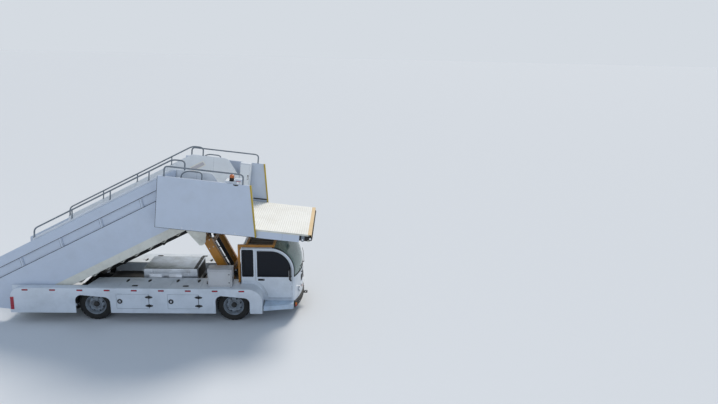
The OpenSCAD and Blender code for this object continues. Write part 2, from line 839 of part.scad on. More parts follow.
module front_bumper() {
    color(steel_dark) placed() {
        difference() {
            translate([0, 0, 255]) linear_extrude(height = 165) polygon(cab_plan(-20));
            translate([0, 0, 200]) linear_extrude(height = 300) polygon(cab_plan(40));
            box(0, cab_front - 165 + hair, -2000, 2000, 0, 2000);
        }
        both_sides() box(nose_x, cab_front - 30, rail_y - rail_w, rail_y, 290, 400);
        // Towing plate with an upright bore
        difference() {
            box(cab_front - 25, cab_front + tow_reach, -tow_w / 2, tow_w / 2, tow_z, tow_z + tow_t);
            translate([tow_x, 0, 0]) cylinder(d = tow_d, h = 1000);
        }
    }
}

// A round lamp that stands on the bowed front at an angle from the middle
module front_lamp(a, z, d, h) {
    translate([cab_front - bow_r, 0, z]) rotate([0, 0, a])
        translate([bow_r + hair, 0, 0]) rotate([0, 90, 0]) cylinder(d = d, h = h);
}

// Back of a side body at a height
function tail_face(z) = -rear_overhang + (z - skirt_z) * 32 / 408;

// Head lamps, turn lamps and rear lamps
module lamps() {
    color("#D8DCE0") placed() both_sides() {
        front_lamp(11.5, 620, 150, 40);
        front_lamp(7, 620, 80, 30);
        slab(side_y - 110, side_y - 70) polygon([[tail_face(320) - 14, 320], [tail_face(320) - hair, 320],
            [tail_face(620) - hair, 620], [tail_face(620) - 14, 620]]);
    }
}

// Mirror on a post that two arms hold to the front edge of the door
module mirror_set(right) {
    x = pillar_c[0] + pillar_r - 75;
    color("#1B1D20") placed() on_side(right) {
        bar([x, sill_z - 110], [x, sill_z + 250], 20, cab_y + 32);
        for (z = [sill_z - 100, sill_z + 10])
            box(x - 8, x + 8, cab_y + hair, cab_y + 32, z, z + 20);
        box(x - 34, x + 10, cab_y + 36, cab_y + 160, sill_z - 30, sill_z + 230);
    }
}
module mirror_right() { mirror_set(true); }
module mirror_left() { mirror_set(false); }

// Stairs: everything below is drawn level and then parked

lower_edge_h = 83;
nose_cos = cos(slope);
g_line = 495;
boss_d = 130;
f_line = 232;
board_end = floor_x - 110;

function top_line(x) = upper_nose(x) + board_h;
function low_line(x) = lower_nose(x) + lower_edge_h;

// A band parallel to the flight between two offsets from the top line
module band(x0, x1, up, down) {
    polygon([[x0, top_line(x0) - up], [x0, top_line(x0) - down], [x1, top_line(x1) - down],
        [x1, top_line(x1) - up]]);
}

module lower_boards() {
    post_pitch = 1050 * nose_cos;
    color(white) parked() both_sides() difference() {
        union() {
        slab(lower_y - lower_t, lower_y) {
            band(foot_x, board_end, 0, f_line);
            polygon([[foot_x, foot_z], [foot_x, top_line(foot_x) - g_line],
                [board_end, top_line(board_end) - g_line], [board_end, low_line(board_end)],
                [pivot_x - 320, low_line(pivot_x - 320)], [pivot_x - 320, foot_z]]);
            for (i = [0:3]) {
                x = -1750 + i * post_pitch;
                polygon([[x, top_line(x) - f_line + 1], [x + 70, top_line(x + 70) - f_line + 1],
                    [x + 130, top_line(x + 130) - g_line - 1], [x + 60, top_line(x + 60) - g_line - 1]]);
            }
        }
        slab(lower_y - lower_t, lower_y - lower_t + 12) band(foot_x, board_end, f_line - 1, g_line + 1);
        }
        pin(pivot_x, pivot_z, boss_d + 2 * hair, 0, 3000);
    }
}

// Folded tread plate: noses counted down from the landing edge
function tread_top(first, last, drop) = [for (k = [last:-1:first]) each
    [[floor_x - run * k, floor_z - drop - rise * k], [floor_x - run * (k - 1), floor_z - drop - rise * k]]];

module tread_plate(y, first, last, drop, tail, head) {
    line = concat(tail, tread_top(first, last, drop), head);
    back = [for (p = line) p + [tread_t, -tread_t]];
    slab(-y, y) polygon(concat(line, reversed(back)));
}

module lower_steps() {
    last = lower_count;
    x = floor_x - run * last;
    z = floor_z - flight_drop - rise * last;
    color(cream) parked() {
        tread_plate(lower_y - lower_t, 1, last, flight_drop, [[x, z - 40]], [[floor_x, floor_z - flight_drop]]);
    }
}

// Cross tubes that lie under the noses of some lower treads
tie_steps = [9, 5, 2];
tie_d = 60;
function tie_x(k) = floor_x - run * k + tread_t + tie_d / 2 + hair;
function tie_z(k) = floor_z - flight_drop - rise * k - tread_t - tie_d / 2 - hair;

// Stringers under the lower boards, with the gussets that hold the mast
module lower_stringers() {
    y1 = lower_y - 5;
    y0 = lower_y - lower_t;
    depth = 226;
    tail = pivot_x - 320;
    color(cream) parked() {
        both_sides() difference() {
            union() {
                slab(y0, y1) polygon(concat(
                    [[tail, low_line(tail)], [tail, foot_z], [tail + 60, foot_z - 20],
                        [pivot_x + 60, foot_z - 20]],
                    [[pivot_x + 340, low_line(pivot_x + 340) - depth], [eye_x - 330, low_line(eye_x - 330) - depth]],
                    arc([eye_x + 20, eye_z], 110, -100, 0, 8),
                    [[eye_x + 130, floor_z - floor_h - 20], [floor_x + 5, floor_z - floor_h - 20],
                        [board_end, low_line(board_end)]]));
                pin(pivot_x, pivot_z, boss_d, y0 - 10, y1 + 5);
                pin(eye_x, eye_z, 150, y0 - 10, y1);
            }
            pin(pivot_x, pivot_z, pivot_d + 2 * hair, 0, 3000);
        }
        for (k = tie_steps)
            pin(tie_x(k), tie_z(k), tie_d, -y0 - 1, y0 + 1);
        pin(eye_x, eye_z, 84, -y0 - 1, y0 + 1);
    }
}

ram_drop = 381;
ram_tail = -60;
ram_head = 2200;

function ram_z(x) = lower_nose(x) - ram_drop;

// Hydraulic ram that slides the upper flight
module ram_barrel() {
    tail = [ram_tail, ram_z(ram_tail)];
    color("#17191C") parked() {
        difference() {
            union() {
                bar(tail, [ram_head, ram_z(ram_head)], 90, 0);
                for (k = [tie_steps[1], tie_steps[2]])
                    box(tie_x(k) - 20, tie_x(k) + 20, -30, 30, ram_z(tie_x(k)), tie_z(k) - tie_d / 2 - hair);
            }
            bar(tail + 40 * [nose_cos, sin(slope)], [ram_head + 100, ram_z(ram_head + 100)], 60, 0);
        }
    }
}

module ram_rod() {
    x0 = ram_tail + 120;
    x1 = ram_head + 90;
    color("#C9CDD2") parked() {
        bar([x0, ram_z(x0)], [x1, ram_z(x1)], 50, 0);
        box(x1 - 30, x1 + 50, -45, 45, ram_z(x1) - 30, floor_z - 40 - hair);
    }
}

// Upper flight: boards that run inside the lower ones, then round the landing
upper_tail = pivot_x + 100;
rail_level = floor_z + 1105;
bend_x = floor_x - 209;
board_front = floor_x + 672;
cabinet_x = floor_x + 1010;
cabinet_y = upper_y - upper_t;

function upper_top(x) = upper_nose(x) + board_h + board_step;

module upper_boards() {
    low = 15;
    color(white) parked() both_sides() {
        slab(upper_y - upper_t, upper_y) polygon([
            [upper_tail, lower_nose(upper_tail) + low], [upper_tail, upper_top(upper_tail)],
            [bend_x, rail_level], [board_front, rail_level], [cabinet_x - hair, floor_z + 650],
            [cabinet_x - hair, floor_z + hair], [floor_x + tread_t, floor_z + hair],
            [floor_x + tread_t, floor_z - floor_h - 20],
            [floor_x, lower_nose(floor_x) + low]]);
        // Runner along the inside of the lower stringer
        slab(upper_y - 1, lower_y - lower_t - hair) polygon([
            [upper_tail, lower_nose(upper_tail) + low + 5], [upper_tail, lower_nose(upper_tail) + low + 60],
            [board_end, lower_nose(board_end) + low + 60], [board_end, lower_nose(board_end) + low + 5]]);
    }
}

module upper_steps() {
    last = upper_count;
    x = floor_x - run * last;
    z = floor_z - rise * last;
    half = run / 2;
    color(cream) parked() tread_plate(upper_y - upper_t, 1, last, 0,
        [[x - half, z - rise - 20], [x - half, z - rise], [x, z - rise]], [[floor_x, floor_z - 1]]);
}

// Handrail tubes on posts along the upper boards, and the grab rails of the landing
module handrails() {
    y = upper_y - upper_t / 2;
    level = rail_level + handrail_h;
    d = handrail_d;
    start = upper_tail + 30;
    grab_x = floor_x + 163;
    grab_foot = floor_x + 30;
    grab_z = floor_z + grab_h;
    grab_y = (upper_y + landing_w / 2) / 2;
    foot = d / 2 * tan(slope) + hair;
    color("#5E6368") parked() both_sides() {
        tube_run([[start, upper_top(start) + foot], [start, upper_top(start) + handrail_h], [bend_x, level],
            [floor_x + 65, level], [floor_x + 65, rail_level]], d, y);
        for (i = [1:3]) {
            x = start + i * 1000 * nose_cos;
            bar([x, upper_top(x) + foot], [x, upper_top(x) + handrail_h], d - 12, y);
        }
        tube_run([[grab_foot, floor_z], [grab_foot, grab_z - (grab_x - grab_foot) * tan(slope)], [grab_x, grab_z],
            [grab_x + grab_l, grab_z], [grab_x + grab_l, floor_z]], d - 6, grab_y);
    }
}

// Landing floor on its frame, with the front edge strip and rubber buffers
module landing() {
    y = landing_w / 2;
    x0 = floor_x + tread_t;
    color("#E6E0C8") parked() {
        box(x0, floor_end, -y, y, floor_z - 40, floor_z);
        both_sides() box(x0, floor_end, y - 60, y, floor_z - floor_h, floor_z - 39);
        both_sides() box(x0, floor_end, 300, 360, floor_z - floor_h, floor_z - 39);
        for (i = [0:4])
            box(x0 + i * (floor_l - 65) / 4, x0 + i * (floor_l - 65) / 4 + 60, -y + 1, y - 1,
                floor_z - floor_h, floor_z - 39);
        box(floor_end - 1, floor_end + bumper_l, -y, y, floor_z - floor_h + 20, floor_z);
    }
}

// Upright cabinets beside the way to the door, open below, each with a door on its inner side
module landing_cabinets() {
    x0 = cabinet_x;
    x1 = cabinet_x + cabinet_l;
    y0 = cabinet_y;
    y1 = landing_w / 2;
    top = floor_z + cabinet_h;
    t = 4;
    color(white) parked() both_sides() {
        difference() {
            box(x0, x1, y0, y1, floor_z + hair, top);
            box(x0 + t, x1 - t, y0 + t, y1 - t, floor_z - 1, top - t);
        }
        box(x0 + 18, x1 - 18, y0 - 5, y0 + 1, floor_z + 60, top - 25);
        box(x1 - 60, x1 - 36, y0 - 15, y0 - 4, top - 420, top - 300);
    }
}

// Beacon on the right cabinet, with its relay box beside it
module beacon() {
    x = cabinet_x + 140;
    y = -landing_w / 2 + 55;
    foot = floor_z + cabinet_h + hair;
    color("#D97B22") parked() {
        translate([x, y, foot]) cylinder(d = 108, h = beacon_h);
        box(x, x + 100, y - 20, y + 20, foot, foot + 12);
        box(x + 75, x + 250, y - 45, y + 45, foot, foot + 65);
    }
}

// Sliding guard board with its edge strip, rail and the runners that carry it
guard_x = floor_x - 453;
guard_z = floor_z - 175;

module guard(right) {
    y0 = guard_y;
    top = guard_z + guard_h;
    front = guard_x + guard_l;
    lead = guard_x + guard_l - guard_rake;
    rail_z = top + guard_rail_h;
    color(white) parked() on_side(right) {
        slab(y0, y0 + guard_t) polygon([[guard_x, guard_z], [guard_x + 20, top], [lead, top], [front, guard_z]]);
        slab(y0 - 12, y0 + guard_t) polygon([[lead, top], [lead + 38, top], [front + 30, guard_z],
            [front - 1, guard_z]]);
        tube_run([[guard_x + 160, top - 1], [guard_x + 160, rail_z], [lead - 190, rail_z],
            [lead - 150, rail_z - 40], [lead - 150, top - 1]], 40, y0 + guard_t / 2);
        for (x = [guard_x + guard_l / 4, guard_x + guard_l * 0.68])
            box(x, x + 300, landing_w / 2 + hair, y0 + 1, guard_z + 20, guard_z + 70);
        // Bump rail low on the inner side
        box(front - 398, front - 44, y0 - 12, y0 + 1, floor_z + 50, floor_z + 78);
    }
}
module guard_right() { guard(true); }
module guard_left() { guard(false); }

// Mast: outer beams hinge on the frame, inner beams slide out of them
eye_parked = turned([eye_x, eye_z]);
mast_v = eye_parked - [mast_x, mast_z];
mast_len = norm(mast_v);
mast_angle = atan2(mast_v[1], mast_v[0]);
beam_wall = 12;
outer_len = mast_len - 140;

// Draws along x, with the origin on the mast's lower pin
module on_mast() {
    placed() translate([mast_x, 0, mast_z]) rotate([0, -mast_angle, 0]) children();
}

module mast_outer() {
    color(ochre) on_mast() {
        both_sides() difference() {
            union() {
                box(70, outer_len, beam_y - beam_w / 2, beam_y + beam_w / 2, -beam_h / 2, beam_h / 2);
                pin(0, 0, 110, beam_y - beam_w / 2, beam_y + beam_w / 2);
                box(0, 71, beam_y - beam_w / 2, beam_y + beam_w / 2, -55, 55);
            }
            box(120, outer_len + 10, beam_y - beam_w / 2 + beam_wall, beam_y + beam_w / 2 - beam_wall,
                -beam_h / 2 + beam_wall, beam_h / 2 - beam_wall);
            pin(0, 0, mast_pin_d + 2 * hair, 0, 1000);
        }
        for (x = [200, outer_len - 160])
            box(x, x + 80, -beam_y + beam_w / 2 - 1, beam_y - beam_w / 2 + 1, -95, -50);
    }
}

module mast_inner() {
    w = beam_w / 2 - beam_wall - 5;
    h = beam_h / 2 - beam_wall - 5;
    play = 5 - hair;
    color("#B97C26") on_mast() {
        both_sides() difference() {
            union() {
                box(150, mast_len - 70, beam_y - w, beam_y + w, -h, h);
                box(150, 250, beam_y - w - play, beam_y + w + play, -h - play, h + play);
                pin(mast_len, 0, 150, beam_y - w, beam_y + w);
                box(mast_len - 90, mast_len, beam_y - w, beam_y + w, -60, 60);
            }
            pin(mast_len, 0, 104, 0, 1000);
        }
        pin(mast_len - 100, 0, 56, -beam_y + w - 1, beam_y - w + 1);
    }
}

ram_y = 190;

module lift_barrels() {
    color("#6B5A3A") on_mast() both_sides() difference() {
        translate([230, ram_y, 0]) rotate([0, 90, 0]) cylinder(d = 100, h = outer_len - 310);
        translate([250, ram_y, 0]) rotate([0, 90, 0]) cylinder(d = 72, h = outer_len);
    }
}

module lift_rods() {
    tie = mast_len - 100;
    color("#C9CDD2") on_mast() both_sides() difference() {
        union() {
            translate([300, ram_y, 0]) rotate([0, 90, 0]) cylinder(d = 56, h = tie - 330);
            pin(tie, 0, 90, ram_y - 30, ram_y + 30);
        }
        pin(tie, 0, 56 + 2 * hair, 0, 1000);
    }
}

frame();
rear_axle();
front_axle();
leaf_springs();
engine();
engine_cover();
side_body_right();
side_body_left();
control_box();
cab_shell();
cab_glass();
cab_interior();
roof_guard();
cab_steps();
front_bumper();
lamps();
mirror_right();
mirror_left();
tyre_rear_right();
tyre_rear_left();
tyre_front_right();
tyre_front_left();
rim_rear_right();
rim_rear_left();
rim_front_right();
rim_front_left();
knuckle_right();
knuckle_left();
cab_door_right();
cab_door_left();
door_glass_right();
door_glass_left();
skirt_door_right_1();
skirt_door_right_2();
skirt_door_left_1();
skirt_door_left_2();
deck_lid_right_1();
deck_lid_right_2();
deck_lid_left_1();
deck_lid_left_2();
stabilizers_rear();
stabilizers_front();
lower_boards();
lower_steps();
lower_stringers();
ram_barrel();
upper_boards();
upper_steps();
handrails();
landing();
landing_cabinets();
ram_rod();
beacon();
guard_right();
guard_left();
mast_outer();
mast_inner();
lift_barrels();
lift_rods();
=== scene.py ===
from math import asin, atan, atan2, cos, degrees, exp, pi, radians, sin, sqrt, tan
import bpy
import bmesh
from mathutils import Matrix, Vector
from mathutils.geometry import tessellate_polygon


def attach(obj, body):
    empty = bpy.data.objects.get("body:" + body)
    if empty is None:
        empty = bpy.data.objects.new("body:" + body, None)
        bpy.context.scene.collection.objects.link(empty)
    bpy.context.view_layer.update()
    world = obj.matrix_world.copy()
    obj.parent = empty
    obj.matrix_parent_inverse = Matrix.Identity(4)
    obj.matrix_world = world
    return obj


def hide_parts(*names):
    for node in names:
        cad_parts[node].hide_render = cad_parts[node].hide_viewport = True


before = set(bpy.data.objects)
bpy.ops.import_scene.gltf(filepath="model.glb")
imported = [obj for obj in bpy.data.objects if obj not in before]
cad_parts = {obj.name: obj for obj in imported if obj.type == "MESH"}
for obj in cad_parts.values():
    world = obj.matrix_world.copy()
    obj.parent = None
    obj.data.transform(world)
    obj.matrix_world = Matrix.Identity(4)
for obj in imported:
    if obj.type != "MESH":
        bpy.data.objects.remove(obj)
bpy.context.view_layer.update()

# Sizes in millimetres, measured from the rear axle and the ground
TREAD_RUN, TREAD_RISE = 310, 200
SLOPE = atan(TREAD_RISE / TREAD_RUN)
TILT = radians(5.65)
PIVOT = Vector((-1550, 0, 500))
FLOOR_X, FLOOR_Z, FLOOR_L = 1810, 2850, 2990
FLOOR_END = FLOOR_X + FLOOR_L
SIDES = (("right", -1), ("left", 1))
AHEAD, LEFT, UP = (1, 0, 0), (0, 1, 0), (0, 0, 1)
DECK_Z, SIDE_Y, SKIRT_Z = 865, 1150, 250
WHEELBASE, AXLE_Z, TRACK = 3200, 385, 910
CAB_REAR, CAB_FRONT, CAB_TOP, CAB_FOOT, CAB_Y = 3360, 4760, 1750, 430, 800
SILL_Z = 1040
# The lower flight lies this far below the upper one; both have boards that rise above their noses
FLIGHT_DROP, LOWER_RISE, UPPER_RISE = 230, 1168, 1238
LOWER_Y, UPPER_Y = 950, 895
# Pins of the mast on the chassis and, with the stairs level, on the stairs
PIN_X, PIN_Z, EYE_X, EYE_Z = 3100, 720, 2300, 2360
MAST_Y, RAM_Y, RAIL_Y = 450, 190, 380
# The cross tubes of the lower flight lie this far behind and below the edge of a tread
TIE_OFF = 35.3


def tilt_down(p):
    """Turns a point of the level stairs to where it lies when they are parked."""
    d = Vector(p) - PIVOT
    return PIVOT + Vector((d.x * cos(TILT) + d.z * sin(TILT), d.y, d.z * cos(TILT) - d.x * sin(TILT)))


# The middle of the parked stairs' length is the middle of the shared frame
MID = (tilt_down((-2450, 0, 200)).x + tilt_down((FLOOR_END + 60, 0, FLOOR_Z)).x) / 2


def upper_nose(x):
    return FLOOR_Z - (FLOOR_X - x) * tan(SLOPE)


def lower_nose(x):
    return upper_nose(x) - FLIGHT_DROP


def top_line(x):
    return upper_nose(x) + LOWER_RISE


# Materials

def linear(code):
    """sRGB hex to a linear colour."""
    parts = [int(code[i:i + 2], 16) / 255 for i in (1, 3, 5)]
    return [c / 12.92 if c <= 0.04045 else ((c + 0.055) / 1.055) ** 2.4 for c in parts] + [1]


def node(tree, kind, settings=None, **links):
    """Adds a node; settings set its properties, links its sockets by name or number."""
    made = tree.nodes.new("ShaderNode" + kind)
    for key, value in (settings or {}).items():
        setattr(made, key, value)
    for key, value in links.items():
        name = key.replace("_", " ")
        socket = made.inputs[int(key[1:])] if key[1:].isdigit() and key[0] == "i" else made.inputs[name]
        if isinstance(value, bpy.types.NodeSocket):
            tree.links.new(value, socket)
        else:
            socket.default_value = value
    return made


def surface(name, colour, rough, dirt=None, metal=0.0, bump=0.12, grain_mm=4, dirt_share=0.4, dirt_mm=350,
            worn=None, coat=(0, 0.03), **sockets):
    """A surface whose colour, roughness and relief vary as the real finish does.

    dirt is the colour of the grime that lies in large soft patches, worn the colour bared in small chips, and
    coat the weight and roughness of the clear coat.
    """
    mat = bpy.data.materials.new(name)
    mat.use_nodes = True
    tree = mat.node_tree
    shader = tree.nodes["Principled BSDF"]
    where = node(tree, "TexCoord").outputs["Object"]
    cloud = node(tree, "TexNoise", Vector=where, Scale=1000 / dirt_mm, Detail=6.0, Roughness=0.6)
    amount = node(tree, "MapRange", Value=cloud.outputs["Fac"], From_Min=0.42, From_Max=0.72, To_Min=0.0,
                  To_Max=dirt_share)
    mix = node(tree, "Mix", {"data_type": "RGBA"}, i0=amount.outputs[0], i6=linear(colour),
               i7=linear(dirt or colour))
    colour_out = mix.outputs[2]
    if worn:
        chips = node(tree, "TexNoise", Vector=where, Scale=1000 / 30, Detail=8.0, Roughness=0.75)
        spots = node(tree, "MapRange", Value=chips.outputs["Fac"], From_Min=0.66, From_Max=0.70, To_Min=0.0,
                     To_Max=0.8)
        bare = node(tree, "Mix", {"data_type": "RGBA"}, i0=spots.outputs[0], i6=colour_out, i7=linear(worn))
        colour_out = bare.outputs[2]
    tree.links.new(colour_out, shader.inputs["Base Color"])
    streak = node(tree, "MapRange", Value=cloud.outputs["Fac"], From_Min=0.3, From_Max=0.75,
                  To_Min=max(rough - 0.06, 0.02), To_Max=min(rough + 0.14, 1.0))
    tree.links.new(streak.outputs[0], shader.inputs["Roughness"])
    shader.inputs["Metallic"].default_value = metal
    if bump:
        fine = node(tree, "TexNoise", Vector=where, Scale=1000 / grain_mm, Detail=3.0)
        relief = node(tree, "Bump", Height=fine.outputs["Fac"], Strength=bump, Distance=0.001)
        tree.links.new(relief.outputs["Normal"], shader.inputs["Normal"])
    for key, value in dict(sockets, Coat_Weight=coat[0], Coat_Roughness=coat[1]).items():
        shader.inputs[key.replace("_", " ")].default_value = value
    return mat


# Two-pack enamel on steel sheet: white with a cool cast, a faint orange peel and road dust in soft patches
enamel = surface("white_enamel", "#DDE4EC", 0.34, "#AFB6BC", grain_mm=5, coat=(0.35, 0.18))
# Same white enamel on the stair boards, darker and bluer as painted shade; cleaner, because nothing splashes
# them
board_enamel_painted_shade = surface("board_enamel_painted_shade", "#CBD5E4", 0.38, "#BCC3CC", bump=0.10, grain_mm=6, dirt_share=0.3,
                       coat=(0.25, 0.22))
# The same white enamel, brighter as painted light, on the inner boards and cabinets
enamel_painted_light = surface("enamel_painted_light", "#ECF0F4", 0.36, "#D3D8DE", bump=0.10, grain_mm=6, dirt_share=0.3,
                        coat=(0.3, 0.2))
# Warm grey enamel of the control box, and the pale grey of a bare sign plate
box_enamel = surface("box_enamel", "#C9CACC", 0.42, "#A9A7A3", coat=(0.2, 0.25))
sign_grey = surface("sign_plate_enamel", "#C9C6CA", 0.45, "#B2AFB2", bump=0.08, grain_mm=2, dirt_share=0.3)
# Cream-white slip-resistant enamel of the landing floor, and the peach of its front strip
floor_enamel = surface("floor_enamel", "#F6F5EF", 0.6, "#DAD5C8", bump=0.3, grain_mm=1.5, dirt_share=0.35,
                       dirt_mm=500)
peach = surface("peach_enamel", "#E6C796", 0.45, "#C4A676", worn="#B59A70")
# Cream primer-coloured enamel of the stringers and steps, scuffed by feet
cream = surface("cream_enamel", "#E2E1D6", 0.45, "#A09C8F", dirt_share=0.5, worn="#A8A395")
# Black chassis paint, dull, with pale road dust
chassis_paint = surface("chassis_paint", "#1B1D20", 0.55, "#4A463F", bump=0.15, grain_mm=3, dirt_share=0.6)
# Ochre enamel of mast and roof frame, chipped to dark primer
ochre = surface("ochre_enamel", "#BE7F25", 0.42, "#7A5A2C", dirt_share=0.55, worn="#4B3A22", coat=(0.2, 0.25))
# Yellow warning enamel of the guards' front edges
yellow = surface("yellow_enamel", "#C2A62B", 0.42, "#8D7B35", bump=0.1, dirt_share=0.5, worn="#6E6340")
# Vulcanised rubber: matt, greyed by dust
tyre_rubber = surface("tyre_rubber", "#17181A", 0.82, "#3B3934", bump=0.35, grain_mm=3, dirt_share=0.7)
# Silver-grey wheel enamel with brake dust
rim_paint = surface("rim_enamel", "#8C959E", 0.42, "#4F4B46", bump=0.1, grain_mm=2, dirt_share=0.7,
                    dirt_mm=120)
# Tinted safety glass of the doors: nearly black outside, with a sharp reflection
dark_glass = surface("tinted_glass", "#04101E", 0.03, "#0A1520", bump=0, dirt_share=0.3,
                     Transmission_Weight=0.12, IOR=1.5, Specular_IOR_Level=0.2)
# Laminated windscreen with a green tint
green_glass = surface("windscreen_glass", "#9DBDB6", 0.03, "#B4CFC4", bump=0, dirt_share=0.3,
                      Transmission_Weight=0.6, IOR=1.5)
# Moulded cab plastic, grained
cab_plastic = surface("moulded_plastic", "#1D1F23", 0.6, "#2C2D30", bump=0.4, grain_mm=1.5, dirt_share=0.25)
# Rolled aluminium sheet, dull silver
aluminium = surface("rolled_aluminium", "#BCC3CB", 0.34, "#8B8D8E", bump=0.08, grain_mm=8, dirt_share=0.6,
                    metal=1.0)
# Hard chromed piston rod
chrome = surface("hard_chrome", "#D8DBDF", 0.10, "#B4B5B5", bump=0, dirt_share=0.3, metal=1.0)
# Black moulded plastic and rubber of mirrors, seals and buffers
black_rubber = surface("black_rubber", "#0F1012", 0.6, "#25241F", bump=0.2, grain_mm=2, dirt_share=0.25)
# Grey enamel of the handrail tubes
tube_enamel = surface("tube_enamel", "#7D868F", 0.36, "#555B60", bump=0.08, grain_mm=2, dirt_share=0.5,
                      dirt_mm=150)
# Pale blue-grey enamel of the cab step
step_enamel = surface("step_enamel", "#C0D2E4", 0.42, "#8C98A6", dirt_share=0.6)
# Clear moulded lamp lens
lamp_lens = surface("lamp_lens", "#E6EAEE", 0.08, "#CFD3D6", bump=0, dirt_share=0.3, coat=(0.6, 0.05))
# Amber and red moulded lenses
amber_lens = surface("amber_lens", "#D2691B", 0.16, "#A5511A", bump=0, coat=(0.5, 0.06))
red_lens = surface("red_lens", "#B31B33", 0.2, "#7A1C2C", bump=0, coat=(0.5, 0.08))

# Dark brown on the roof panel, painted shade of the ochre roof under the landing, and a darker ochre painted
# as shade on the mast's inside
roof_painted_shade = surface("brown_painted_shade", "#3B2C1E", 0.5, "#55432E", bump=0.1, dirt_share=0.6)
ochre_shade = surface("ochre_painted_shade", "#8A5E22", 0.46, "#5B4528", dirt_share=0.6, worn="#3A2D1E")
# Woven seat cloth, charcoal
seat_cloth = surface("seat_cloth", "#2A2D33", 0.9, "#3A3D42", bump=0.5, grain_mm=1.2, dirt_share=0.25)

# The material of every node of the frame; a star stands for right and left
NODE_FINISH = {
    enamel: "side_body_* cab_shell cab_door_* skirt_door_*_1 skirt_door_*_2 deck_lid_*_1 deck_lid_*_2",
    board_enamel_painted_shade: "lower_boards guard_*",
    enamel_painted_light: "upper_boards landing_cabinets",
    box_enamel: "control_box",
    cream: "lower_steps lower_stringers upper_steps landing",
    chassis_paint: "frame rear_axle front_axle leaf_springs engine front_bumper knuckle_* stabilizers_rear "
                   "stabilizers_front ram_barrel lift_barrels",
    ochre: "roof_guard mast_outer mast_inner",
    tyre_rubber: "tyre_rear_* tyre_front_*",
    rim_paint: "rim_rear_* rim_front_*",
    green_glass: "cab_glass",
    dark_glass: "door_glass_*",
    cab_plastic: "cab_interior mirror_*",
    aluminium: "engine_cover",
    chrome: "ram_rod lift_rods",
    tube_enamel: "handrails",
    step_enamel: "cab_steps",
    lamp_lens: "lamps",
    amber_lens: "beacon",
}
for finish, names in NODE_FINISH.items():
    for name in sorted({name.replace("*", side) for name in names.split() for side, sign in SIDES}):
        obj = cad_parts[name]
        for slot in obj.material_slots:
            slot.material = finish
        if not obj.material_slots:
            obj.data.materials.append(finish)

# Drawing pieces in millimetres

def in_frame(p):
    """A point in millimetres as metres in the shared frame."""
    return (p[0] - MID) / 1000, p[1] / 1000, p[2] / 1000


def linked(name, data):
    """Makes an object and links it into the scene."""
    obj = bpy.data.objects.new(name, data)
    bpy.context.scene.collection.objects.link(obj)
    return obj


def mesh_object(name, bm, finishes):
    mesh = bpy.data.meshes.new(name)
    bm.to_mesh(mesh)
    bm.free()
    for finish in finishes:
        mesh.materials.append(finish)
    return linked(name, mesh)


def smooth_faces(obj):
    obj.data.polygons.foreach_set("use_smooth", [True] * len(obj.data.polygons))
    return obj


def on_circle(r, angle):
    """The two coordinates of a point on a circle, its angle in degrees."""
    a = radians(angle)
    return r * cos(a), r * sin(a)


